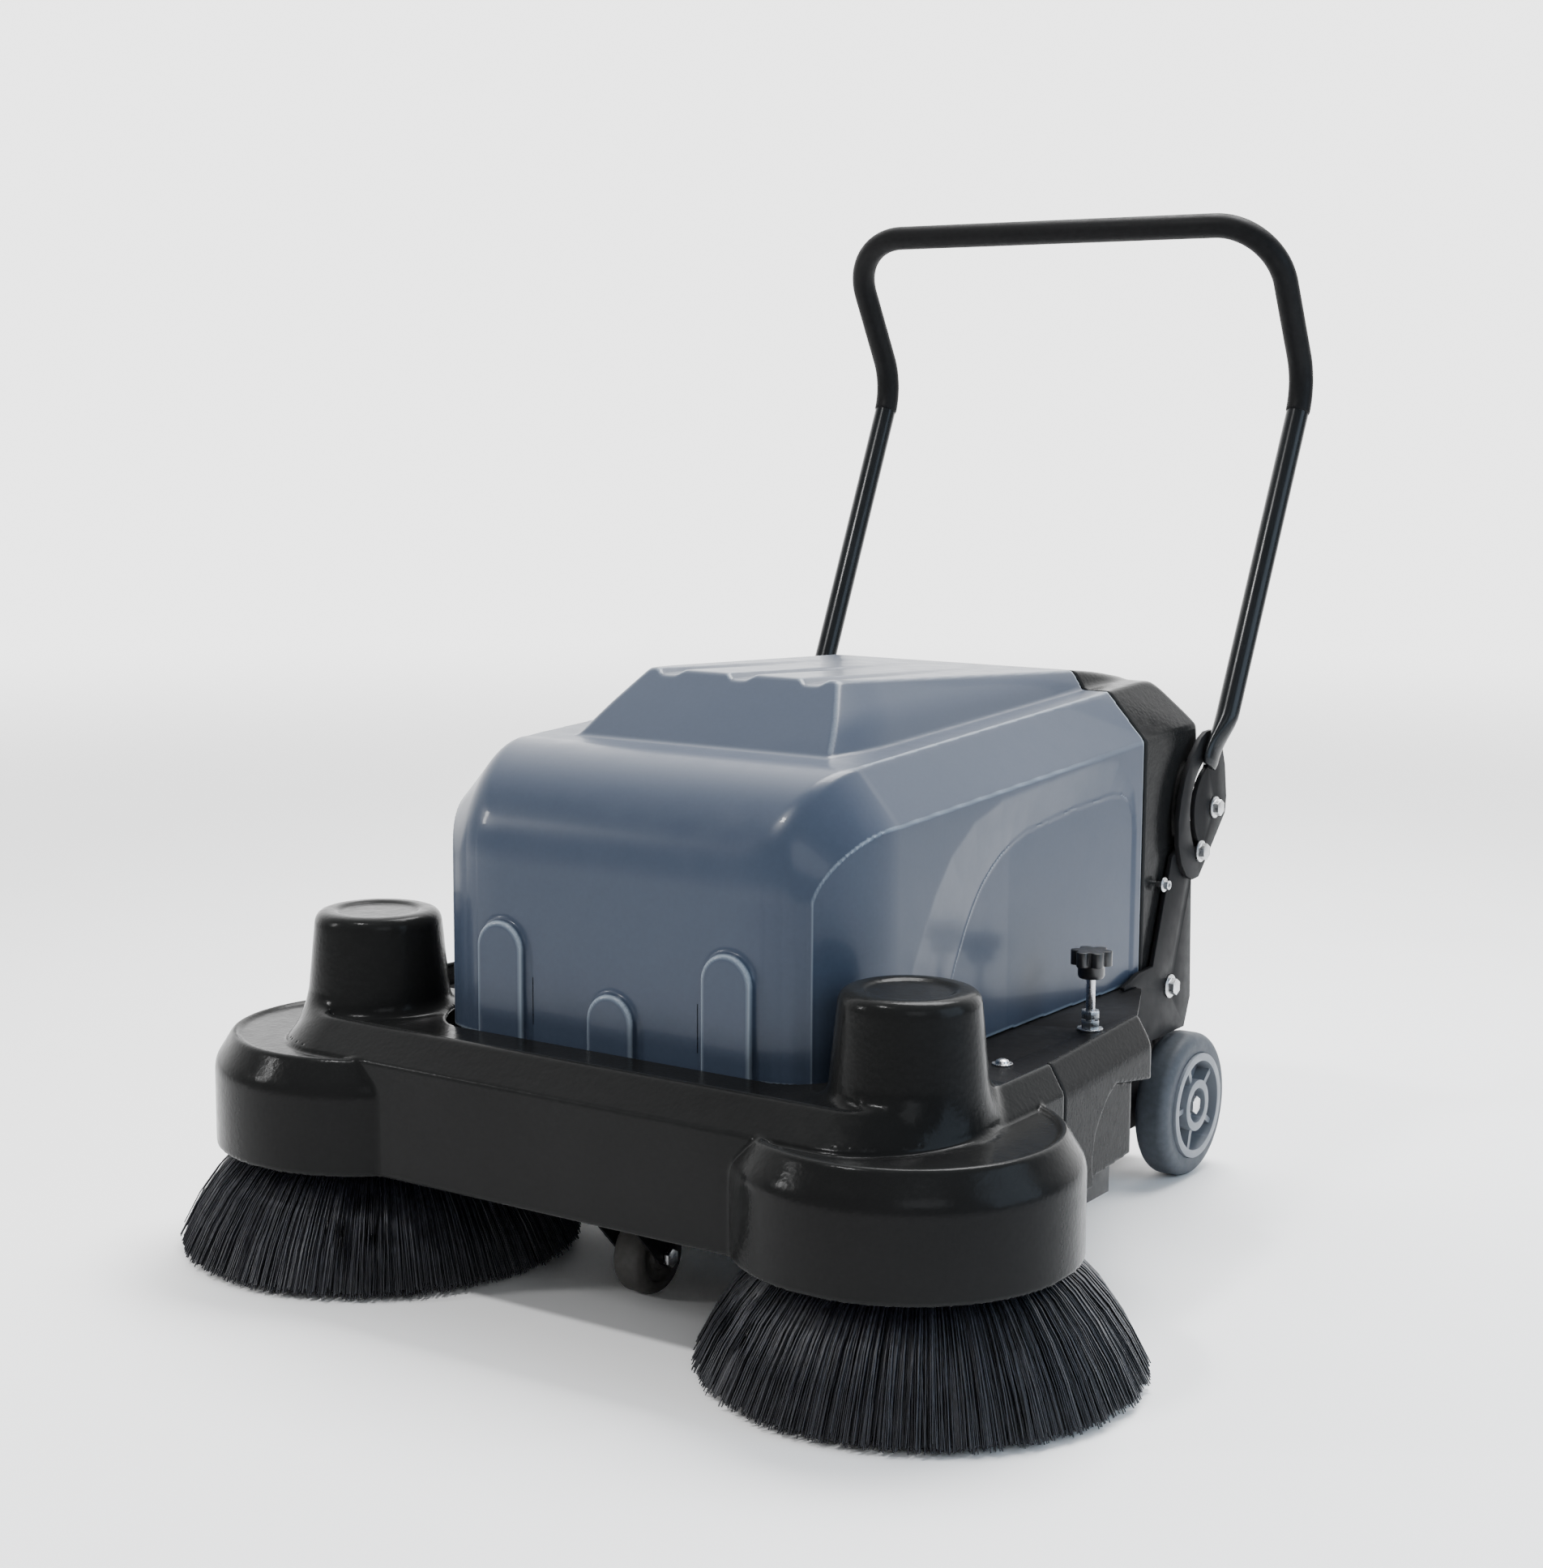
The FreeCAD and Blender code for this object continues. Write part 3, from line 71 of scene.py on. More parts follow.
class Nodes:
    """Builds one node material on the object's own coordinates, in metres."""

    def __init__(self, name):
        self.material = bpy.data.materials.new(name)
        self.material.use_nodes = True
        self.tree = self.material.node_tree
        self.tree.nodes.clear()
        self.out = self.tree.nodes.new("ShaderNodeOutputMaterial")
        self.shader = self.tree.nodes.new("ShaderNodeBsdfPrincipled")
        self.tree.links.new(self.shader.outputs[0], self.out.inputs[0])
        self.place = self.tree.nodes.new("ShaderNodeTexCoord").outputs["Object"]

    def link(self, source, target):
        self.tree.links.new(source, target)

    def stretched(self, scale):
        mapping = self.tree.nodes.new("ShaderNodeMapping")
        mapping.inputs["Scale"].default_value = scale
        self.link(self.place, mapping.inputs["Vector"])
        return mapping.outputs[0]

    def noise(self, scale, detail=3.0, stretch=None):
        node = self.tree.nodes.new("ShaderNodeTexNoise")
        node.inputs["Scale"].default_value = scale
        node.inputs["Detail"].default_value = detail
        self.link(self.stretched(stretch) if stretch else self.place, node.inputs["Vector"])
        return node.outputs["Fac"]

    def cells(self, scale):
        node = self.tree.nodes.new("ShaderNodeTexVoronoi")
        node.inputs["Scale"].default_value = scale
        self.link(self.place, node.inputs["Vector"])
        return node.outputs["Distance"]

    def ramp(self, source, low, high, first, last):
        """Maps source from low..high to first..last."""
        node = self.tree.nodes.new("ShaderNodeMapRange")
        for key, value in (("From Min", low), ("From Max", high), ("To Min", first), ("To Max", last)):
            node.inputs[key].default_value = value
        self.link(source, node.inputs["Value"])
        return node.outputs["Result"]

    def mix(self, factor, first, second):
        node = self.tree.nodes.new("ShaderNodeMix")
        node.data_type = "RGBA"
        self.link(factor, node.inputs["Factor"])
        for value, socket in ((first, node.inputs["A"]), (second, node.inputs["B"])):
            if isinstance(value, tuple):
                socket.default_value = (*value, 1.0)
            else:
                self.link(value, socket)
        return node.outputs["Result"]

    def edges(self, low=0.50, high=0.56, first=0.0, last=1.0):
        """last on convex edges, first elsewhere."""
        geometry = self.tree.nodes.new("ShaderNodeNewGeometry")
        return self.ramp(geometry.outputs["Pointiness"], low, high, first, last)

    def bump(self, layers):
        """Adds bump layers, each (height source, strength, distance)."""
        normal = None
        for source, strength, distance in layers:
            node = self.tree.nodes.new("ShaderNodeBump")
            node.inputs["Strength"].default_value = strength
            node.inputs["Distance"].default_value = distance
            self.link(source, node.inputs["Height"])
            if normal is not None:
                self.link(normal, node.inputs["Normal"])
            normal = node.outputs["Normal"]
        self.link(normal, self.shader.inputs["Normal"])
        if self.shader.inputs["Coat Weight"].default_value > 0:
            self.link(normal, self.shader.inputs["Coat Normal"])

    def set(self, **values):
        for key, value in values.items():
            self.shader.inputs[key.replace("_", " ")].default_value = value


def shade(color, factor):
    """A color made lighter or darker."""
    return tuple(min(1.0, c * factor) for c in color)


def moulded(name, color, rough, grain, depth, spread=0.12, coat=0.0, edge=1.25, gloss=0.5):
    """Moulded plastic: a fine skin texture, slow tone changes, and convex edges painted lighter as a painted
    highlight.
    """
    m = Nodes(name)
    m.set(Coat_Weight=coat, Coat_Roughness=0.12, IOR=1.5, Specular_IOR_Level=gloss)
    tone = m.ramp(m.noise(7.0, 4.0), 0.3, 0.7, 0.0, 1.0)
    base = m.mix(tone, shade(color, 1 - spread), shade(color, 1 + spread))
    # convex edges painted lighter in the base colour: a painted highlight
    m.link(m.mix(m.edges(), base, shade(color, edge)), m.shader.inputs["Base Color"])
    m.link(m.ramp(m.noise(45.0, 4.0), 0.3, 0.7, rough * 0.86, rough * 1.16), m.shader.inputs["Roughness"])
    m.bump([(m.noise(grain, 2.0), depth, 0.0004), (m.cells(grain * 0.55), depth * 0.5, 0.0004),
            (m.noise(16.0, 2.0), 0.05, 0.004)])
    return m.material


def leathery(name, color, rough, gloss):
    """Black vacuum-formed plastic: a coarse leather grain that breaks its small bright highlights, and a
    painted highlight along convex edges.
    """
    m = Nodes(name)
    m.set(IOR=1.5, Specular_IOR_Level=gloss)
    tone = m.ramp(m.noise(5.0, 4.0), 0.3, 0.7, 0.0, 1.0)
    base = m.mix(tone, shade(color, 0.85), shade(color, 1.2))
    # convex edges painted 2.6 times lighter in the base colour: a painted highlight
    m.link(m.mix(m.edges(0.51, 0.57), base, shade(color, 2.6)), m.shader.inputs["Base Color"])
    m.link(m.ramp(m.noise(70.0, 5.0), 0.3, 0.7, rough * 0.75, rough * 1.3), m.shader.inputs["Roughness"])
    m.bump([(m.cells(210.0), 0.16, 0.0006), (m.noise(330.0, 2.0), 0.12, 0.0005),
            (m.noise(60.0, 3.0), 0.10, 0.0012)])
    return m.material


def creased(name, color, line, rough):
    """Satin hood plastic: faint speckle and waviness, and a pale painted highlight line along every crease.
    """
    m = Nodes(name)
    m.set(IOR=1.5, Specular_IOR_Level=0.18, Coat_Weight=0.10, Coat_Roughness=0.06)
    tone = m.ramp(m.noise(3.0, 4.0), 0.3, 0.7, 0.0, 1.0)
    fine = m.ramp(m.noise(240.0, 3.0), 0.3, 0.7, 0.0, 0.12)
    base = m.mix(fine, m.mix(tone, shade(color, 0.95), shade(color, 1.05)), shade(color, 1.5))
    # the line colour painted onto convex creases is a painted highlight
    m.link(m.mix(m.edges(0.509, 0.540, 0.0, 0.7), base, line), m.shader.inputs["Base Color"])
    m.link(m.ramp(m.noise(40.0, 4.0), 0.3, 0.7, rough * 0.9, rough * 1.12), m.shader.inputs["Roughness"])
    m.bump([(m.noise(14.0, 2.0), 0.03, 0.003)])
    return m.material


def painted(name, color, rough, gloss=0.35, coat=0.0, edge=2.2, peel=0.10):
    """Painted steel: orange peel, faint tone changes, paint worn thinner on the edges."""
    m = Nodes(name)
    m.set(IOR=1.5, Specular_IOR_Level=gloss, Coat_Weight=coat, Coat_Roughness=0.10)
    tone = m.ramp(m.noise(11.0, 3.0), 0.3, 0.7, 0.0, 1.0)
    base = m.mix(tone, shade(color, 0.86), shade(color, 1.14))
    m.link(m.mix(m.edges(0.52, 0.60), base, shade(color, edge)), m.shader.inputs["Base Color"])
    m.link(m.ramp(m.noise(60.0, 3.0), 0.3, 0.7, rough * 0.85, rough * 1.2), m.shader.inputs["Roughness"])
    m.bump([(m.noise(520.0, 1.0), peel, 0.0003), (m.noise(30.0, 2.0), peel * 0.4, 0.002)])
    return m.material


def bare(name, color, rough, stretch=(1, 1, 1), scale=900.0):
    """Bare or plated metal with fine machining lines and a few stains."""
    m = Nodes(name)
    m.set(Metallic=1.0)
    stain = m.ramp(m.noise(38.0, 5.0), 0.42, 0.75, 0.0, 1.0)
    m.link(m.mix(stain, color, shade(color, 0.66)), m.shader.inputs["Base Color"])
    m.link(m.ramp(m.noise(220.0, 4.0), 0.3, 0.7, rough * 0.7, rough * 1.4), m.shader.inputs["Roughness"])
    m.bump([(m.noise(scale, 2.0, stretch), 0.16, 0.0002)])
    return m.material


def rubbery(name, color, rough, grain=500.0, depth=0.2, dust=(0.20, 0.19, 0.18), gloss=0.3):
    """Rubber: matt, grained, with a trace of dust in broad patches."""
    m = Nodes(name)
    m.set(IOR=1.45, Specular_IOR_Level=gloss)
    tone = m.ramp(m.noise(24.0, 5.0), 0.52, 0.85, 0.0, 0.30)
    base = m.mix(m.ramp(m.noise(140.0, 3.0), 0.3, 0.7, 0.0, 1.0), shade(color, 0.88), shade(color, 1.12))
    m.link(m.mix(tone, base, tuple(0.5 * (a + b) for a, b in zip(color, dust))),
           m.shader.inputs["Base Color"])
    m.link(m.ramp(m.noise(80.0, 4.0), 0.3, 0.7, rough * 0.88, min(1.0, rough * 1.12)),
           m.shader.inputs["Roughness"])
    m.bump([(m.noise(grain, 2.0), depth, 0.0003)])
    return m.material


def filament_plastic(name, color, rough, tip):
    """Nylon filaments: glossy strands, paler and duller towards the worn tips near the floor."""
    m = Nodes(name)
    m.set(IOR=1.53)
    low = m.tree.nodes.new("ShaderNodeSeparateXYZ")
    m.link(m.place, low.inputs[0])
    worn = m.ramp(low.outputs["Z"], 0.045, 0.0, 0.0, 0.7)
    tone = m.ramp(m.noise(260.0, 2.0, (1, 1, 0.15)), 0.35, 0.65, 0.0, 1.0)
    base = m.mix(tone, shade(color, 0.55), shade(color, 1.7))
    m.link(m.mix(worn, base, tip), m.shader.inputs["Base Color"])
    m.link(m.ramp(m.noise(90.0, 2.0), 0.3, 0.7, rough * 0.8, rough * 1.3), m.shader.inputs["Roughness"])
    m.bump([(m.noise(1500.0, 1.0, (1, 1, 0.05)), 0.2, 0.0002)])
    return m.material


MATERIALS = {
    # the second colour is the painted highlight along the hood's creases
    "hood_plastic": creased("hood_plastic", (0.035, 0.047, 0.072), (0.30, 0.36, 0.42), 0.32),
    "black_moulding": leathery("black_moulding", (0.0088, 0.0090, 0.0090), 0.20, 0.055),
    # a slightly darker, less glossy copy of black_moulding that dims the side covers: painted shade
    "side_moulding_painted_shade": leathery("side_moulding_painted_shade", (0.0085, 0.0086, 0.0087), 0.24, 0.020),
    "black_steel": painted("black_steel", (0.0095, 0.0095, 0.010), 0.38, 0.035),
    "dark_steel": painted("dark_steel", (0.05, 0.05, 0.053), 0.42),
    "tube_black": painted("tube_black", (0.009, 0.010, 0.011), 0.23, 0.14, 0.03, 1.2, 0.012),
    "grip_foam": rubbery("grip_foam", (0.0065, 0.0066, 0.007), 0.50, 420.0, 0.08,
                         (0.012, 0.012, 0.012), 0.08),
    "zinc": bare("zinc", (0.62, 0.63, 0.64), 0.30),
    "steel_bar": bare("steel_bar", (0.55, 0.55, 0.57), 0.28, (1, 1, 12), 260.0),
    "bristles": filament_plastic("bristles", (0.011, 0.012, 0.017), 0.38, (0.030, 0.031, 0.036)),
    "brush_back": moulded("brush_back", (0.022, 0.022, 0.024), 0.42, 500.0, 0.2),
    "tyre_grey": rubbery("tyre_grey", (0.052, 0.059, 0.070), 0.58, 420.0, 0.2, (0.13, 0.125, 0.12)),
    "hub_plastic": moulded("hub_plastic", (0.125, 0.138, 0.158), 0.42, 500.0, 0.10, 0.05),
    "caster_tyre": rubbery("caster_tyre", (0.060, 0.058, 0.055), 0.55),
    "knob_plastic": moulded("knob_plastic", (0.011, 0.011, 0.012), 0.30, 900.0, 0.15),
    "flap_rubber": rubbery("flap_rubber", (0.020, 0.020, 0.020), 0.60),
    "motor_case": painted("motor_case", (0.03, 0.03, 0.032), 0.40),
    "battery_case": moulded("battery_case", (0.035, 0.036, 0.040), 0.42, 600.0, 0.2),
    "aluminium": bare("aluminium", (0.70, 0.71, 0.73), 0.34, (1, 14, 14), 200.0),
    "belt_rubber": rubbery("belt_rubber", (0.015, 0.015, 0.015), 0.5),
    "filter_paper": rubbery("filter_paper", (0.52, 0.48, 0.38), 0.85, 1200.0, 0.4, (0.35, 0.32, 0.26)),
    "panel_plastic": moulded("panel_plastic", (0.028, 0.028, 0.030), 0.40, 900.0, 0.2),
    "switch_plastic": moulded("switch_plastic", (0.012, 0.012, 0.012), 0.16, 1200.0, 0.03, 0.05, 0.3),
    "key_metal": bare("key_metal", (0.66, 0.66, 0.68), 0.22),
}
for node, piece in NODES.items():
    piece.data.materials.clear()
    piece.data.materials.append(MATERIALS[SLOTS[node]])


# ---------------------------------------------------------------- mesh tools

def make_object(name, mesh, body, slot, replaced=()):
    """A piece that rides on a body, in place of the replaced CAD nodes."""
    mesh.materials.append(MATERIALS[slot])
    piece = bpy.data.objects.new(name, mesh)
    bpy.context.scene.collection.objects.link(piece)
    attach(piece, body)
    if replaced:
        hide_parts(*replaced)
    return piece


def new_mesh(name, points, faces):
    """A smooth mesh from an (n, 3) array in millimetres and an (m, 3 or 4) array of indices."""
    points = np.asarray(points, float)
    moved = (points + np.array([0.0, AXLE_Y, 0.0])) * 0.001
    faces = np.asarray(faces, np.int32)
    sides = faces.shape[1]
    mesh = bpy.data.meshes.new(name)
    mesh.vertices.add(len(moved))
    mesh.vertices.foreach_set("co", moved.astype(np.float32).ravel())
    mesh.loops.add(faces.size)
    mesh.loops.foreach_set("vertex_index", faces.ravel())
    mesh.polygons.add(len(faces))
    mesh.polygons.foreach_set("loop_start", np.arange(0, faces.size, sides, dtype=np.int32))
    mesh.polygons.foreach_set("use_smooth", np.ones(len(faces), bool))
    mesh.update(calc_edges=True)
    mesh.validate()
    return mesh


CORNERS = np.array([(i, j, k) for i in (0, 1) for j in (0, 1) for k in (0, 1)])
CELL_EDGES = [(a, b) for a in range(8) for b in range(a + 1, 8)
              if np.abs(CORNERS[a] - CORNERS[b]).sum() == 1]


def surface(name, field, low, high, cell):
    """The mesh of the surface where field(x, y, z) is zero, by surface nets on a regular grid."""
    counts = [int(math.ceil((b - a) / cell)) + 1 for a, b in zip(low, high)]
    axes = [(a + cell * np.arange(n)).astype(np.float32) for a, n in zip(low, counts)]
    x, y, z = axes[0][:, None, None], axes[1][None, :, None], axes[2][None, None, :]
    values = np.broadcast_to(field(x, y, z), counts).astype(np.float32)
    solid = values < 0
    count = sum(solid[i:counts[0] - 1 + i, j:counts[1] - 1 + j, k:counts[2] - 1 + k].astype(np.int8)
                for i, j, k in CORNERS)
    mixed = (count > 0) & (count < 8)
    cells = np.argwhere(mixed)
    number = np.full(mixed.shape, -1, np.int32)
    number[mixed] = np.arange(len(cells))
    corner = [values[tuple((cells + offset).T)] for offset in CORNERS]
    total = np.zeros((len(cells), 3))
    crossings = np.zeros(len(cells))
    for a, b in CELL_EDGES:
        crossed = (corner[a] < 0) != (corner[b] < 0)
        t = np.where(crossed, corner[a] / np.where(crossed, corner[a] - corner[b], 1), 0)
        total += np.where(crossed[:, None], CORNERS[a] + t[:, None] * (CORNERS[b] - CORNERS[a]), 0)
        crossings += crossed
    points = np.array(low) + cell * (cells + total / crossings[:, None])
    faces = []
    for axis in range(3):
        lower = np.take(solid, range(counts[axis] - 1), axis)
        upper = np.take(solid, range(1, counts[axis]), axis)
        where = np.argwhere(lower != upper)
        u, v = (axis + 1) % 3, (axis + 2) % 3
        keep = (where[:, u] > 0) & (where[:, v] > 0)
        keep &= (where[:, u] < counts[u] - 1) & (where[:, v] < counts[v] - 1)
        where = where[keep]
        step_u, step_v = np.eye(3, dtype=int)[u], np.eye(3, dtype=int)[v]
        ring = [where, where - step_u, where - step_u - step_v, where - step_v]
        quads = np.stack([number[tuple(r.T)] for r in ring], 1)
        outward = lower[tuple(where.T)]
        quads[~outward] = quads[~outward][:, ::-1]
        faces.append(quads)
    return new_mesh(name, points, np.concatenate(faces))


def smax(a, b, k):
    """The larger of two fields, with a fillet about k wide where they are equal."""
    h = np.maximum(k - np.abs(a - b), 0)
    return np.maximum(a, b) + h * h / (4 * k)


def smin(a, b, k):
    return -smax(-a, -b, k)


def step(t):
    """A smooth step from 0 at t = 0 to 1 at t = 1."""
    t = np.clip(t, 0, 1)
    return t * t * (3 - 2 * t)


def plan_distance(x, y, half, front, rx, ry):
    """Distance to an outline with elliptical front corners, seen from above."""
    u = (np.abs(x) - (half - rx)) / rx
    v = ((front + ry) - y) / ry
    corner = (np.sqrt(np.maximum(u, 0) ** 2 + np.maximum(v, 0) ** 2 + 1e-9) - 1) * (rx + ry) / 2
    flat = np.maximum((u - 1) * rx, (v - 1) * ry)
    return np.where((u > 0) & (v > 0), corner, flat)


def polygon_distance(points, u, v):
    """Signed distance to a closed polygon, negative inside."""
    u, v = np.broadcast_arrays(u, v)
    best = np.full(u.shape, 1e9)
    sign = np.ones(u.shape)
    for (ax, ay), (bx, by) in zip(points, points[1:] + points[:1]):
        ex, ey = ax - bx, ay - by
        wx, wy = u - bx, v - by
        t = np.clip((wx * ex + wy * ey) / (ex * ex + ey * ey), 0, 1)
        best = np.minimum(best, (wx - ex * t) ** 2 + (wy - ey * t) ** 2)
        above, below = v >= by, v < ay
        left = ex * wy > ey * wx
        flip = (above & below & left) | (~above & ~below & ~left)
        sign = np.where(flip, -sign, sign)
    return sign * np.sqrt(best)


def plane(a, b, c, inside, x, y, z):
    """Distance to the plane of three points, negative on the side of a given point."""
    a, b, c = Vector(a), Vector(b), Vector(c)
    n = (b - a).cross(c - a).normalized()
    if n.dot(Vector(inside) - a) > 0:
        n = -n
    return n.x * (x - a.x) + n.y * (y - a.y) + n.z * (z - a.z)


def lathe(name, profile, centre, segments):
    """A surface of revolution of (radius, height) pairs about the upright axis through centre."""
    profile = np.array(profile, float)
    turn = np.linspace(0, 2 * math.pi, segments, endpoint=False)
    radius, height = profile[:, 0][:, None], profile[:, 1][:, None] + 0 * turn[None, :]
    columns = (radius * np.cos(turn), radius * np.sin(turn), height)
    points = np.stack(columns, -1).reshape(-1, 3) + np.array(centre)
    rows, faces = len(profile), []
    for i in range(rows - 1):
        j = np.arange(segments)
        n = (j + 1) % segments
        faces.append(np.stack([i * segments + j, i * segments + n, (i + 1) * segments + n,
                               (i + 1) * segments + j], 1))
    mesh = new_mesh(name, points, np.concatenate(faces))
    edit = bmesh.new()
    edit.from_mesh(mesh)
    bmesh.ops.remove_doubles(edit, verts=edit.verts, dist=1e-6)
    bmesh.ops.recalc_face_normals(edit, faces=edit.faces)
    edit.to_mesh(mesh)
    edit.free()
    return mesh


def strands(name, paths, radii, sides=3):
    """Thin tapering tubes along paths, an (n, k, 3) array; radii is one radius per point."""
    n, k, _ = paths.shape
    along = np.gradient(paths, axis=1)
    along /= np.linalg.norm(along, axis=2, keepdims=True)
    helper = np.array([0.3, 0.5, 0.81])
    across = np.cross(along, helper)
    across /= np.linalg.norm(across, axis=2, keepdims=True)
    third = np.cross(along, across)
    rings = []
    for i in range(sides):
        angle = 2 * math.pi * i / sides
        rings.append(paths + radii[None, :, None] * (across * math.cos(angle) + third * math.sin(angle)))
    points = np.stack(rings, 2).reshape(-1, 3)
    base = np.arange(n)[:, None, None] * k * sides
    row = np.arange(k - 1)[None, :, None] * sides
    i = np.arange(sides)[None, None, :]
    j = (i + 1) % sides
    faces = np.stack([base + row + i, base + row + j, base + row + sides + j, base + row + sides + i], -1)
    return new_mesh(name, points, faces.reshape(-1, 4))


def dress(node, width):
    """Replaces a CAD node by a copy of its mesh with its sharp edges rounded."""
    mesh = NODES[node].data.copy()
    mesh.materials.clear()
    edit = bmesh.new()
    edit.from_mesh(mesh)
    bmesh.ops.remove_doubles(edit, verts=edit.verts, dist=1e-6)
    bmesh.ops.dissolve_limit(edit, angle_limit=math.radians(1.0), verts=edit.verts, edges=edit.edges)
    sharp = [e for e in edit.edges if e.is_manifold and e.calc_face_angle(0) > math.radians(28)]
    bmesh.ops.bevel(edit, geom=sharp, offset=width * 0.001, segments=2, affect="EDGES",
                    profile=0.6, clamp_overlap=True)
    for face in edit.faces:
        face.smooth = True
    edit.to_mesh(mesh)
    edit.free()
    mesh.set_sharp_from_angle(angle=math.radians(50))
    make_object(node + "_finished", mesh, NODES[node]["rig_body"], SLOTS[node], [node])


# ---------------------------------------------------------------- hood

HOOD_FRONT = -706.0
HOOD_HALF = 242.0
HOOD_REAR = -88.0
HOOD_RX, HOOD_RY = 75, 115              # half axes of the upright front corners
BLOCK_FRONT = -568.0
SILL_Z = 519                            # foot of the raised block
CREST_Y, CREST_Z = -494, 585            # front edge of the block's top
NOSE_Y, NOSE_Z, NOSE_R = -596, 409, 110  # axis and radius of the hood's rounded nose
RISE = 0.051                            # slope of the top and of the shoulders towards the rear
SHOULDER_HALF = 197
CHAMFER_SLOPE = 1.13
INSIDE = (0, -300, 450)                 # a point inside every plane of the body


def block_field(x, y, z, top_drop):
    """The raised block on the hood, which runs on into the rear housing."""
    a = np.abs(x)
    top = plane((0, CREST_Y, CREST_Z), (1, CREST_Y, CREST_Z), (0, -87, 565), INSIDE, a, y, z) + top_drop
    upper = plane((145, -475, 555.8), (155.5, -128.3, 560.6), (127, CREST_Y, CREST_Z), INSIDE, a, y, z)
    lower = plane((172.6, -543.6, 519.3), (172.5, -86.6, 542.8), (144.4, -475, 555.8), INSIDE, a, y, z)
    front = plane((-157, BLOCK_FRONT, SILL_Z), (157, BLOCK_FRONT, SILL_Z), (121, CREST_Y, CREST_Z),
                  INSIDE, x, y, z)
    corner = plane((155, BLOCK_FRONT, SILL_Z), (172.6, -541, 519.3), (126, CREST_Y, CREST_Z),
                   INSIDE, a, y, z)
    field = smax(top, smax(smax(upper, lower, 2), corner, 26), 3)
    return np.maximum(smax(field, front, 3), 502 - z)


def shoulder(y):
    """Height of the flat top beside the block."""
    return 520 + RISE * (y - BLOCK_FRONT)


def chamfer_field(x, y, z):
    """The slanted band along each shoulder."""
    rise = CHAMFER_SLOPE * (np.abs(x) - SHOULDER_HALF) + z - shoulder(y)
    return rise / math.hypot(CHAMFER_SLOPE, 1)


def body_field(x, y, z):
    """Rear housing below the raised block: sides, chamfer, flat top."""
    return smax(smax(np.abs(x) - HOOD_HALF, chamfer_field(x, y, z), 2.5), z - shoulder(y), 3)


ARCH_OUTER = [(-602, 150), (-602, 225), (-566, 332), (-526, 395), (-496, 428), (-453, 454), (-398, 469),
              (-194, 483), (-148, 479), (-112, 444), (-104, 400), (-104, 150)]
ARCH_INNER = [(-512, 150), (-512, 225), (-470, 317), (-451, 350), (-436, 371), (-420, 388), (-401, 402),
              (-381, 413), (-358, 422), (-335, 429), (-240, 440), (-160, 444), (-137, 442), (-120, 434),
              (-110, 418), (-108, 400), (-108, 150)]
ARCH_DEPTH = 10.5
ARCH_REAR_DEPTH = 1.8


def arch_depth(y, z):
    """How far the hood's side sinks in over the band between the two arches and inside them."""
    outer = -polygon_distance(ARCH_OUTER, y, z)
    inner = np.maximum(polygon_distance(ARCH_INNER, y, z), 0)
    deepest = ARCH_REAR_DEPTH + (ARCH_DEPTH - ARCH_REAR_DEPTH) * np.clip((-106 - y) / 260, 0, 1)
    return deepest * np.clip(outer / np.maximum(outer + inner, 1e-3), 0, 1) * (outer > 0)


GROOVE_HALF = 16
GROOVE_SIDE = 8.5
GROOVE_DEPTH = 5.6
GROOVE_RUN = 330


def grooves(x, y):
    """The depth of the three wide grooves, deepest at the front edge, that run out towards the rear."""
    depth = np.zeros(np.broadcast(x, y).shape)
    for middle in (-85, 0, 85):
        across = np.clip((GROOVE_HALF - np.abs(x - middle)) / GROOVE_SIDE, 0, 1)
        depth = np.maximum(depth, GROOVE_DEPTH * across)
    return depth * np.clip(1 - (y - CREST_Y) / GROOVE_RUN, 0, 1)


def bead(distance, width, height=0.9):
    """A fine raised line where distance is near zero."""
    return height * step(1 - np.abs(distance) / width)


def pads(x, y, z):
    """Three raised pads with round tops on the front face."""
    field = 1e3
    for middle, top, half in ((-132, 358, 28), (0, 303, 27), (132, 358, 28)):
        above = np.maximum(z - (top - half), 0)
        outline = np.sqrt((x - middle) ** 2 + above ** 2) - half
        field = np.minimum(field, outline)
    return smax(smax(field, (HOOD_FRONT - 5) - y, 5), y - (HOOD_FRONT + 4), 1)


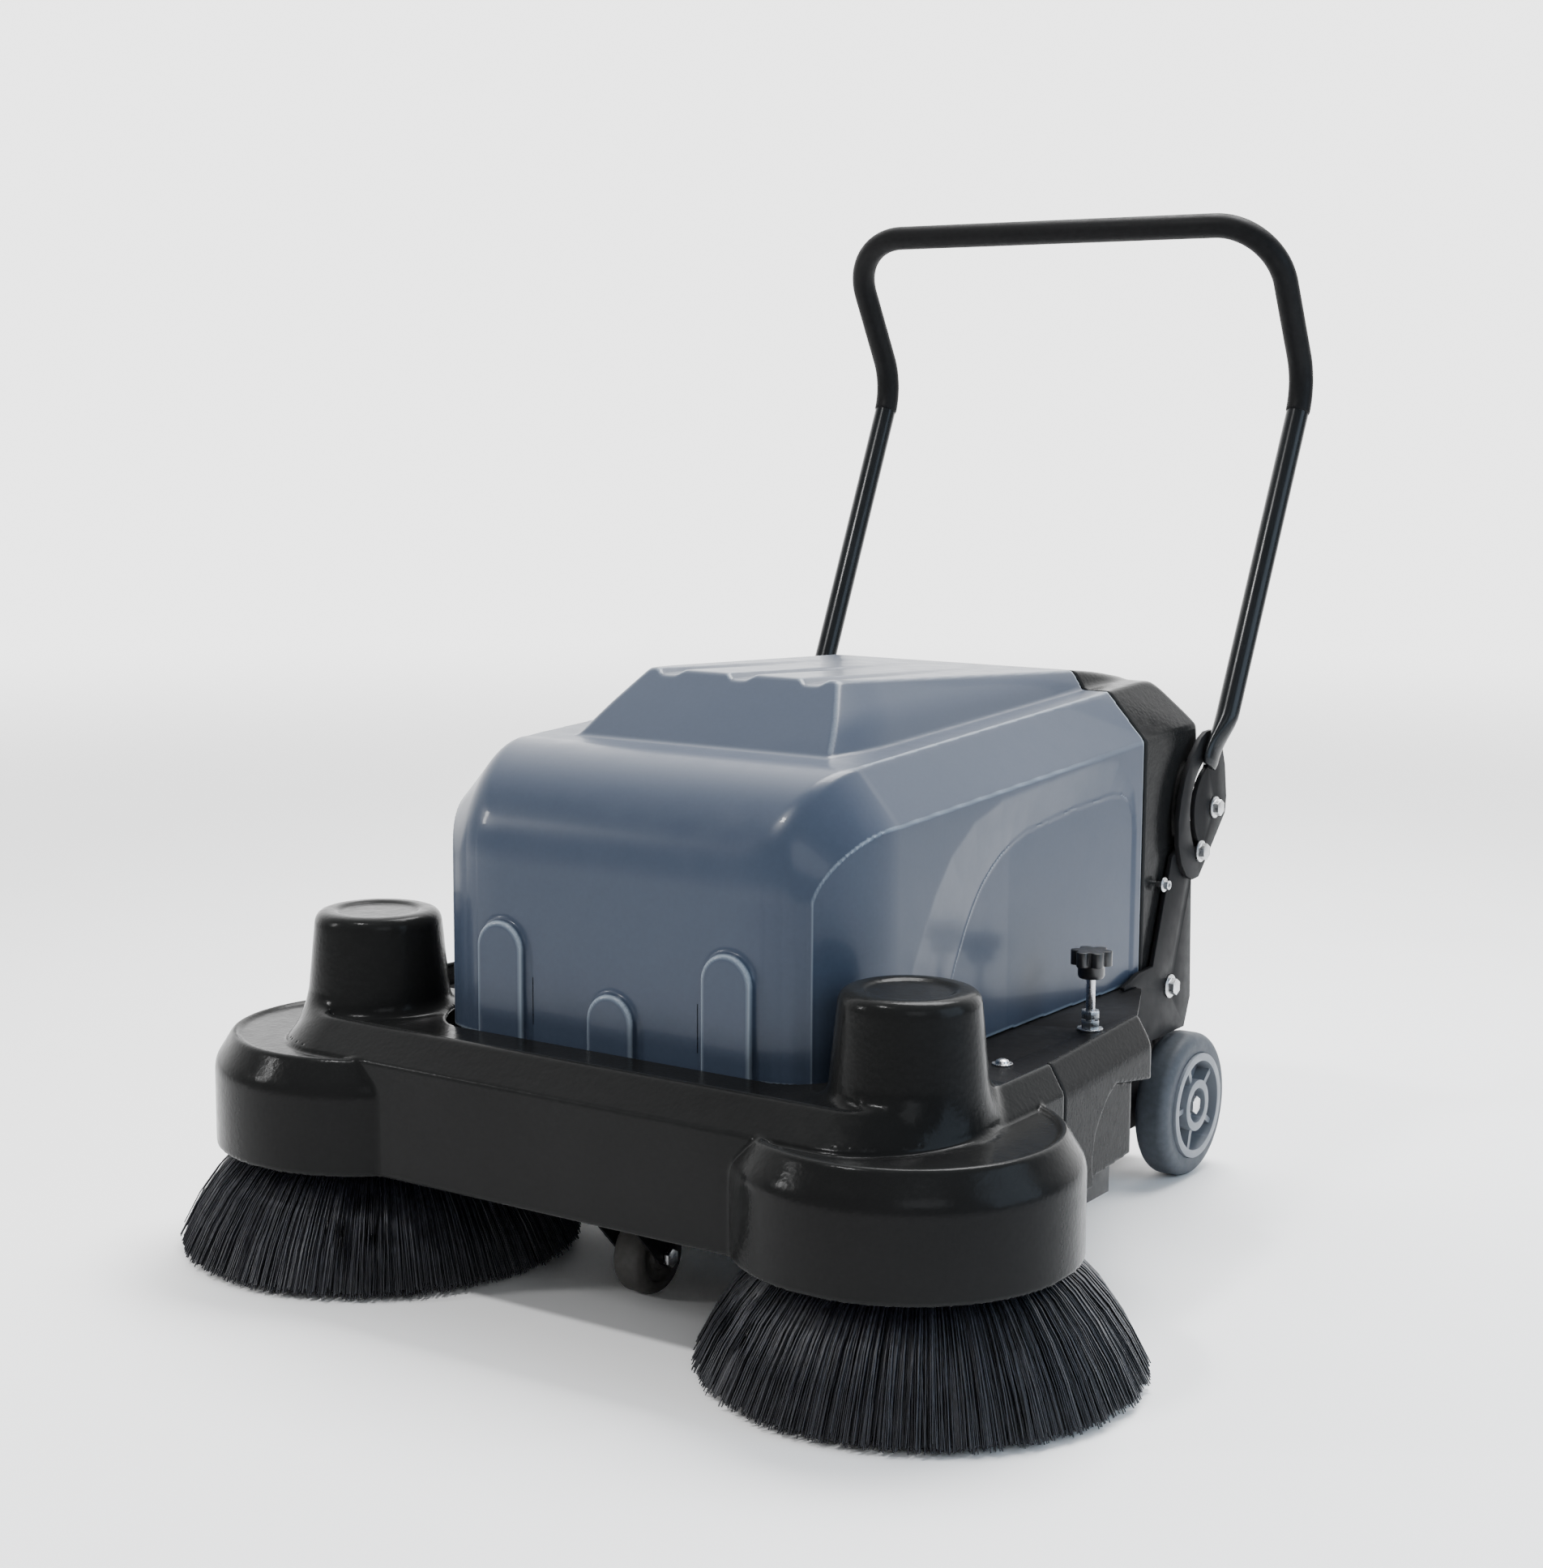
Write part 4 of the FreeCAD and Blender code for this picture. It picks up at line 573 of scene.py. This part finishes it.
def hood_field(x, y, z):
    """The hood: a rounded nose, bands along both sides, block, pads and arches, hollow and open below."""
    top = SILL_Z + RISE * np.maximum(y + 588, 0)
    ahead, above = NOSE_Y - y, z - NOSE_Z
    profile = np.sqrt(np.maximum(ahead, 0) ** 2 + np.maximum(above, 0) ** 2) - NOSE_R
    flat = np.maximum(ahead - NOSE_R, z - top)
    profile = np.where((ahead > 0) & (above > 0), profile, flat)
    plan = plan_distance(x, y, HOOD_HALF, HOOD_FRONT, HOOD_RX, HOOD_RY)
    turn = np.arctan2(np.maximum(above, 1e-3), np.maximum(ahead, 1e-3)) / (math.pi / 2)
    slope = 0.476 + 0.654 * turn
    band = (slope * (np.abs(x) - 167 - 30 * turn) + profile) / np.sqrt(slope ** 2 + 1)
    soft = 2.5 + 11 * np.clip((198 - np.abs(x)) / 14, 0, 1) * (1 - turn)
    outer = smax(smax(plan, band, soft), profile, 14 - 11 * turn)
    fade = np.where(turn < 0.999, 1, np.clip((-190 - y) / 120, 0, 1)) * (np.abs(x) > 190)
    outer = outer - bead(plan - band, 1.5) * fade
    outer = outer - bead(profile - band, 1.4) * (y > BLOCK_FRONT - 14) * (turn >= 0.999)
    outer = smin(outer, block_field(x, y, z, grooves(x, y)), 3)
    outer = smin(outer, pads(x, y, z), 4)
    outer = np.maximum(outer, np.abs(x) - (HOOD_HALF - arch_depth(y, z)))
    outer = outer - bead(polygon_distance(ARCH_INNER, y, z), 2.0) * (np.abs(x) > 200)
    shell = np.maximum(outer, -(outer + WALL))
    bottom = np.where(y < HOOD_FRONT + 45, 240.0, 232.0)
    return np.maximum(np.maximum(shell, bottom - z), y - HOOD_REAR)


mesh = surface("hood_shell", hood_field, (-250, -720, 222), (250, -80, 594), FINE)
make_object("hood_shell", mesh, "hood", "hood_plastic", ["hood"])


# ---------------------------------------------------------------- rear housing

HOUSING_REAR = 48


def housing_field(x, y, z):
    """The black box behind the hood, with the recess of the hopper and holes for panel and socket."""
    outer = smin(body_field(x, y, z), block_field(x, y, z, 0.0), 7)
    cap = plane((0, -50, 563.2), (1, -50, 563.2), (0, 20.6, 549), INSIDE, x, y, z)
    slope = plane((0, 20.6, 549), (1, 20.6, 549), (0, HOUSING_REAR, 500), INSIDE, x, y, z)
    back = smax(smax(slope, y - HOUSING_REAR, 10), cap, 10)
    outer = smax(outer, back, 9)
    recess = smax(smax(230 - np.abs(x), 8 - y, 6), z - 428, 6)
    outer = smax(outer, -recess, 5)
    shell = np.maximum(outer, -(outer + WALL))
    shell = np.maximum(np.maximum(shell, 232 - z), -85 - y)
    slot = np.maximum(np.maximum(np.abs(x) - 80, np.abs(z - 524.5) - 16), 5 - y)
    socket = np.maximum(np.sqrt((x - 120) ** 2 + (z - 420) ** 2) - 14, 30 - y)
    return np.maximum(np.maximum(shell, -slot), -socket)


mesh = surface("rear_housing_shell", housing_field, (-250, -92, 222), (250, 56, 575), FINE)
make_object("rear_housing_shell", mesh, "base", "black_moulding", ["rear_housing"])


# ---------------------------------------------------------------- front cover

COVER_HALF = 382
COVER_FRONT = -805
RIM_Z = 254
BULGE_X, BULGE_Y, BULGE_R = 313, -692, 157
CAP_X, CAP_Y = 310.5, -684.5


def bevelled_plan(x, y, z):
    """The bumper's upright wall and the slanted rim above it."""
    t = np.clip((z - 227) / 27, 0, 1.4)
    plan = plan_distance(x, y, COVER_HALF - 16 * t, COVER_FRONT + 34 * t, 95 - 19 * t, 115 - 34 * t)
    return plan * (1 - 0.3 * step(t * 4))


def bulge_field(x, y, z):
    """The two round bulges over the side brushes, with a slanted rim and a sunk top."""
    r = np.sqrt((np.abs(x) - BULGE_X) ** 2 + (y - BULGE_Y) ** 2)
    cone = ((r - BULGE_R) * 29 + (z - 199) * 18) / math.hypot(29, 18)
    dish = 4.0 * step((137 - r) / 7)
    return smax(smax(r - BULGE_R, cone, 5), (z - 228) + dish, 4)


def cap_field(x, y, z):
    """The two motor caps, narrower towards their dished tops."""
    r = np.sqrt((np.abs(x) - CAP_X) ** 2 + (y - CAP_Y) ** 2)
    wall = r - (72 - 8 * (z - 248) / 79)
    dish = 3.0 * step((44 - r) / 8)
    return smax(wall, (z - 346) + dish, 13)


def cover_field(x, y, z):
    """The whole front cover, hollow, with the gap for the hood and an open rear."""
    body = smax(bevelled_plan(x, y, z), z - RIM_Z, 3)
    tray = plan_distance(x, y, 362, -766, 74, 79)
    body = smax(body, -np.maximum(tray, 248 - z), 2)
    whole = smin(body, bulge_field(x, y, z), 2.5)
    whole = smin(whole, cap_field(x, y, z), 15)
    shell = np.maximum(whole, -(whole + WALL))
    shell = np.maximum(shell, 116 - z)
    gap = np.maximum(plan_distance(x, y, 248.5, -712.5, HOOD_RX, HOOD_RY), 236 - z)
    rear = np.maximum(np.maximum(-588 - y, np.abs(x) - 362), z - 300)
    shell = np.maximum(np.maximum(shell, -gap), -rear)
    return np.maximum(shell, y + 528)


mesh = surface("front_cover_shell", cover_field, (-474, -855, 108), (474, -522, 352), FINE)
make_object("front_cover_shell", mesh, "base", "black_moulding", ["front_cover"])


# ---------------------------------------------------------------- side covers

SIDE_FRONT, SIDE_REAR = -526.5, -302
SIDE_ARCH = [(-452, 90), (-458, 150), (-450, 172), (-436, 188), (-418, 201), (-400, 208), (-338, 197),
             (-290, 188), (-290, 90)]


def side_cover_field(x, y, z):
    """The left side cover; the right one is its mirror image."""
    out = x + 19 * (y - SIDE_FRONT) / (SIDE_REAR - SIDE_FRONT)
    bevel = ((out - COVER_HALF) * 27 + (z - 227) * 16) / math.hypot(27, 16)
    sunk = 11 * step(-polygon_distance(SIDE_ARCH, y, z) / 3.5)
    outer = smax(smax(out - COVER_HALF + sunk, bevel, 5), z - RIM_Z, 3)
    outer = smax(outer, y - SIDE_REAR + 2.2 * sunk, 12)
    shell = np.maximum(outer, -(outer + WALL))
    shell = np.maximum(shell, np.where(z > 225, 362 - out, 352 - out))
    return np.maximum(np.maximum(shell, 120 - z), SIDE_FRONT - y)


def mirrored(mesh, name):
    """A mirror image of a mesh across x = 0, with its faces turned the right way out."""
    copy = mesh.copy()
    copy.name = name
    copy.transform(Matrix.Scale(-1, 4, Vector((1, 0, 0))))
    copy.flip_normals()
    copy.materials.clear()
    return copy


mesh = surface("side_cover_shell_left", side_cover_field, (340, -532, 112), (390, -294, 260),
               2.0)
other = mirrored(mesh, "side_cover_shell_right")
for name, shell, node in (("side_cover_shell_left", mesh, "side_cover_left"),
                          ("side_cover_shell_right", other, "side_cover_right")):
    piece = make_object(name, shell, "base", "black_moulding", [node])
    # the side covers get the darker copy of the black moulding: painted shade
    piece.data.materials[0] = MATERIALS["side_moulding_painted_shade"]


# ---------------------------------------------------------------- handle

LEG_END = np.array([269.0, 34.4, 455.0])
KINK = np.array([275.3, 232.8, 874.4])
TOP_CORNER = np.array([276.0, 134.5, 1047.8])
BEND_RADII = (70, 72, 72, 70)
TUBE_R = 12.7
SLEEVE_R = 13.75
FOOT_FLAT, FOOT_SPREAD = 7.2, 3.4       # how much the pressed feet are thinner and wider than the tube


def unit(v):
    """The vector's direction."""
    return v / np.linalg.norm(v)


def fillet(a, b, c, radius, count):
    """Points of the arc that rounds the corner b between a and c."""
    u, v = unit(a - b), unit(c - b)
    half = math.acos(float(u @ v)) / 2
    centre = b + unit(u + v) * radius / math.sin(half)
    first, last = b + u * radius / math.tan(half) - centre, b + v * radius / math.tan(half) - centre
    sweep = math.pi - 2 * half
    t = np.linspace(0, sweep, count)[:, None]
    return centre + (first * np.sin(sweep - t) + last * np.sin(t)) / math.sin(sweep)


def straight(a, b, count):
    """Evenly spaced points from a to b."""
    return a + (b - a) * np.linspace(0, 1, count)[:, None]


def handle_line():
    """The handle's centre line from foot to foot, and the point numbers where the sleeve begins and ends."""
    half = [LEG_END, KINK, TOP_CORNER]
    route = half + [p * np.array([-1, 1, 1]) for p in reversed(half)]
    bends = [fillet(*route[i:i + 3], radius, 25) for i, radius in enumerate(BEND_RADII)]
    parts = [straight(LEG_END, bends[0][0], 60)]
    for i, corner in enumerate(bends):
        parts.append(corner[1:])
        if i < 3:
            parts.append(straight(corner[-1], bends[i + 1][0], 20)[1:])
    parts.append(straight(bends[3][-1], route[-1], 60)[1:])
    return np.concatenate(parts), 59, sum(len(p) for p in parts[:-1])


def frames(path):
    """Sideways directions along a path that turn with it but do not twist."""
    along = np.gradient(path, axis=0)
    along /= np.linalg.norm(along, axis=1, keepdims=True)
    side = np.zeros_like(path)
    now = np.array([1.0, 0.0, 0.0])
    for i, direction in enumerate(along):
        now = unit(now - direction * (now @ direction))
        side[i] = now
    return side, np.cross(along, side)


def tube_rings(path, side, other, half_a, half_b, shift, count):
    """Elliptical rings round a path, moved sideways by shift."""
    turn = np.linspace(0, 2 * math.pi, count, endpoint=False)
    a = half_a[:, None, None] * np.cos(turn)[None, :, None] * side[:, None, :]
    b = half_b[:, None, None] * np.sin(turn)[None, :, None] * other[:, None, :]
    return path[:, None, :] + shift[:, None, None] * side[:, None, :] + a + b


def skin(name, rings, closed=False):
    """A mesh over a stack of rings; an open stack is closed by a fan at both ends."""
    rows, count, _ = rings.shape
    points = rings.reshape(-1, 3)
    i, j = np.meshgrid(np.arange(rows if closed else rows - 1), np.arange(count), indexing="ij")
    up, turn = (i + 1) % rows, (j + 1) % count
    faces = np.stack([i * count + j, i * count + turn, up * count + turn, up * count + j], -1).reshape(-1, 4)
    if not closed:
        points = np.concatenate([points, np.stack([rings[0].mean(0), rings[-1].mean(0)])])
        middle = rows * count
        first = np.arange(0, count, 2)
        second, third = first + 1, (first + 2) % count
        last = (rows - 1) * count
        low = np.stack([first, np.full_like(first, middle), third, second], 1)
        high = np.stack([last + first, last + second, last + third, np.full_like(first, middle + 1)], 1)
        faces = np.concatenate([faces, low, high])
    mesh = new_mesh(name, points, faces)
    edit = bmesh.new()
    edit.from_mesh(mesh)
    bmesh.ops.recalc_face_normals(edit, faces=edit.faces)
    edit.to_mesh(mesh)
    edit.free()
    return mesh


def handle_pieces():
    """The tube with its feet pressed flat against the sector plates, and the sleeve on its upper part."""
    path, begin, end = handle_line()
    side, other = frames(path)
    run = np.concatenate([[0], np.cumsum(np.linalg.norm(np.diff(path, axis=0), axis=1))])
    foot = 1 - step((np.minimum(run, run[-1] - run) - 12) / 52)
    lip = np.minimum(np.minimum(run, run[-1] - run) / 3, 1)
    round_off = 1 - 0.16 * (1 - lip) ** 2
    rings = tube_rings(path, side, other, (TUBE_R - FOOT_FLAT * foot) * round_off,
                       (TUBE_R + FOOT_SPREAD * foot) * round_off, -FOOT_FLAT * foot, 32)
    make_object("handle_tube_bent", skin("handle_tube_bent", rings), "handle", "tube_black", ["handle_tube"])
    path, side, other = path[begin:end], side[begin:end], other[begin:end]
    run = run[begin:end] - run[begin]
    edge = np.clip(np.minimum(run, run[-1] - run) / 2.5, 0, 1)
    outer = TUBE_R + 0.25 + (SLEEVE_R - TUBE_R - 0.25) * np.sqrt(1 - (1 - edge) ** 2)
    inner = np.full_like(outer, TUBE_R + 0.1)
    flat = np.zeros_like(outer)
    out_rings = tube_rings(path, side, other, outer, outer, flat, 32)
    in_rings = tube_rings(path, side, other, inner, inner, flat, 32)
    mesh = skin("handle_sleeve", np.concatenate([out_rings, in_rings[::-1]]), True)
    make_object("handle_sleeve", mesh, "handle", "grip_foam", ["handle_grip"])


handle_pieces()


# ---------------------------------------------------------------- finished metal and small parts

EDGE_WIDTHS = {
    "chassis_frame": 0.7, "side_plate_left": 0.7, "side_plate_right": 0.7, "sector_plate_left": 0.8,
    "sector_plate_right": 0.8, "handle_bolts": 0.6, "side_plate_bolts": 0.6, "deck_screws": 0.4,
    "height_nuts": 0.7, "height_knob": 1.8, "axle_bolt_left": 0.6, "axle_bolt_right": 0.6,
    "wheel_hub_left": 1.0, "wheel_hub_right": 1.0, "wheel_tyre_left": 1.2, "wheel_tyre_right": 1.2,
    "caster_fork": 0.7, "caster_wheel": 1.2, "caster_axle": 0.5, "hopper": 1.5, "hopper_handle": 1.4,
    "control_panel": 0.8, "charge_socket": 0.7, "key_switch": 0.5, "rocker_switch_left": 0.8,
    "rocker_switch_right": 0.8, "side_flaps": 0.6, "front_crossmember": 0.8, "brush_carrier": 0.8,
}
for node, width in EDGE_WIDTHS.items():
    dress(node, width)


# ---------------------------------------------------------------- bristles

BRUSH_X = 320.0
BRUSH_Y = -675.0
BRUSH_R = 203.5


def side_brush_mesh(name, count):
    """Tufts set in the disc's underside, flaring outwards and down to the floor."""
    tufts = 84
    turn = RNG.integers(0, tufts, count) * 2 * math.pi / tufts + RNG.normal(0, 0.022, count)
    depth = RNG.random(count) ** 0.55
    start_r = 40 + 31 * depth + RNG.normal(0, 1.5, count)
    start_z = np.full(count, 137.0)
    end_r = 150 + 52 * depth + RNG.normal(0, 1.6, count)
    end_z = 3.5 + 7.0 * RNG.random(count) + 6 * (depth > 0.96) * RNG.random(count)
    mid_r = start_r + (end_r - start_r) * (0.52 + 0.10 * depth)
    mid_z = 88 + 32 * depth
    swirl = RNG.normal(0.0, 0.016, count)
    t = np.linspace(0, 1, 7)[None, :]

    def curve(a, b, c):
        return (1 - t) ** 2 * a[:, None] + 2 * t * (1 - t) * b[:, None] + t ** 2 * c[:, None]

    r = np.minimum(curve(start_r, mid_r, end_r), BRUSH_R)
    angle = turn[:, None] + swirl[:, None] * t ** 1.5
    paths = np.stack([r * np.cos(angle), r * np.sin(angle), curve(start_z, mid_z, end_z)], -1)
    paths += np.array([BRUSH_X, BRUSH_Y, 0.0])
    return strands(name, paths, np.array([1.0, 1.0, 1.0, 0.95, 0.9, 0.8, 0.65]))


count = 8000
mesh = side_brush_mesh("side_brush_tufts_left", count)
other = mirrored(mesh, "side_brush_tufts_right")
make_object("side_brush_tufts_left", mesh, "side_brush_left", "bristles", ["side_brush_bristles_left"])
make_object("side_brush_tufts_right", other, "side_brush_right", "bristles", ["side_brush_bristles_right"])

CORE = [(50, 128), (66, 134), (100, 124), (132, 102), (158, 70), (176, 38), (186, 12), (150, 9), (120, 50),
        (92, 88), (60, 112), (50, 128)]
mesh = lathe("side_brush_core_left", CORE, (BRUSH_X, BRUSH_Y, 0), 96)
other = mirrored(mesh, "side_brush_core_right")
make_object("side_brush_core_left", mesh, "side_brush_left", "bristles")
make_object("side_brush_core_right", other, "side_brush_right", "bristles")


# ---------------------------------------------------------------- camera, light, floor

CAMERA_PLACE = (1.41415, -2.21275, 0.83679)
CAMERA_LENS = 58.24
HEADING, PITCH, ROLL = 34.05, 8.28, 0.26


def look():
    """The camera, from its heading, pitch and roll."""
    heading, pitch, roll = (math.radians(v) for v in (HEADING, PITCH, ROLL))
    back = Vector((math.sin(heading) * math.cos(pitch), -math.cos(heading) * math.cos(pitch),
                   math.sin(pitch)))
    right = Vector((math.cos(heading), math.sin(heading), 0))
    up = back.cross(right)
    turned = right * math.cos(roll) + up * math.sin(roll)
    up = up * math.cos(roll) - right * math.sin(roll)
    data = bpy.data.cameras.new("camera")
    data.lens = CAMERA_LENS
    data.sensor_width = 36.0
    camera = bpy.data.objects.new("camera", data)
    rotation = Matrix((turned, up, back)).transposed()
    camera.matrix_world = Matrix.Translation(Vector(CAMERA_PLACE)) @ rotation.to_4x4()
    bpy.context.scene.collection.objects.link(camera)
    bpy.context.scene.camera = camera


def soft_light(name, place, size, power, target=(0.0, -0.1, 0.35), color=(1.0, 1.0, 1.0)):
    """A rectangular area light that faces the target."""
    data = bpy.data.lights.new(name, "AREA")
    data.color = color
    data.shape = "RECTANGLE"
    data.size, data.size_y = size
    data.energy = power
    lamp = bpy.data.objects.new(name, data)
    lamp.location = place
    lamp.rotation_euler = (Vector(target) - Vector(place)).to_track_quat("-Z", "Y").to_euler()
    bpy.context.scene.collection.objects.link(lamp)


BACKDROP = (-0.55, 0.80, 0.22)          # towards the brightest part of the room
FLOOR_HALF = 60.0


def backdrop_strength(tree, direction):
    """How bright the room is in a direction: a bright backdrop behind, dimmer in front."""
    dot = tree.nodes.new("ShaderNodeVectorMath")
    dot.operation = "DOT_PRODUCT"
    dot.inputs[1].default_value = BACKDROP
    tree.links.new(direction, dot.inputs[0])
    fade = tree.nodes.new("ShaderNodeMapRange")
    fade.interpolation_type = "SMOOTHSTEP"
    for key, value in (("From Min", 0.1), ("From Max", 0.85), ("To Min", 0.28), ("To Max", 3.4)):
        fade.inputs[key].default_value = value
    tree.links.new(dot.outputs["Value"], fade.inputs["Value"])
    return fade.outputs["Result"]


def floor():
    """A plain pale floor whose far parts take the brightness of the room, so no horizon shows."""
    m = Nodes("studio_floor")
    m.link(m.mix(m.ramp(m.noise(3.0, 3.0), 0.3, 0.7, 0.0, 1.0), (0.90, 0.90, 0.90), (0.92, 0.92, 0.92)),
           m.shader.inputs["Base Color"])
    m.set(Roughness=0.8)
    length = m.tree.nodes.new("ShaderNodeVectorMath")
    length.operation = "LENGTH"
    m.link(m.place, length.inputs[0])
    towards = m.tree.nodes.new("ShaderNodeVectorMath")
    towards.operation = "NORMALIZE"
    m.link(m.place, towards.inputs[0])
    glow = m.tree.nodes.new("ShaderNodeEmission")
    m.link(backdrop_strength(m.tree, towards.outputs[0]), glow.inputs["Strength"])
    blend = m.tree.nodes.new("ShaderNodeMixShader")
    far = m.tree.nodes.new("ShaderNodeMapRange")
    far.interpolation_type = "SMOOTHSTEP"
    far.inputs["From Min"].default_value = 1.6
    far.inputs["From Max"].default_value = 7.0
    m.link(length.outputs["Value"], far.inputs["Value"])
    m.link(far.outputs["Result"], blend.inputs[0])
    m.link(m.shader.outputs[0], blend.inputs[1])
    m.link(glow.outputs[0], blend.inputs[2])
    m.link(blend.outputs[0], m.out.inputs[0])
    mesh = bpy.data.meshes.new("studio_floor")
    corners = [(i * FLOOR_HALF, j * FLOOR_HALF, 0) for i, j in ((-1, -1), (1, -1), (1, 1), (-1, 1))]
    mesh.from_pydata(corners, [], [(0, 1, 2, 3)])
    mesh.materials.append(m.material)
    piece = bpy.data.objects.new("studio_floor", mesh)
    bpy.context.scene.collection.objects.link(piece)


def studio_world():
    """A white room that is bright behind the object."""
    world = bpy.data.worlds.new("studio")
    world.use_nodes = True
    tree = world.node_tree
    background = tree.nodes["Background"]
    where = tree.nodes.new("ShaderNodeTexCoord")
    tree.links.new(backdrop_strength(tree, where.outputs["Generated"]), background.inputs["Strength"])
    background.inputs["Color"].default_value = (1.0, 1.0, 1.0, 1.0)
    bpy.context.scene.world = world


look()
floor()
studio_world()
soft_light("overhead_rear", (0.0, 1.3, 3.2), (2.0, 1.4), 215, (0.0, 0.3, 0.0))
soft_light("overhead_front", (-0.5, -1.6, 2.7), (0.4, 0.2), 50)
soft_light("left_strip", (-2.4, -2.2, 1.5), (0.15, 0.8), 32)
soft_light("right_box", (3.0, 0.3, 1.3), (2.0, 2.0), 60, color=(0.62, 0.80, 1.0))
soft_light("front_box", (2.3, -2.5, 1.9), (1.6, 1.2), 21, color=(0.92, 0.96, 1.0))
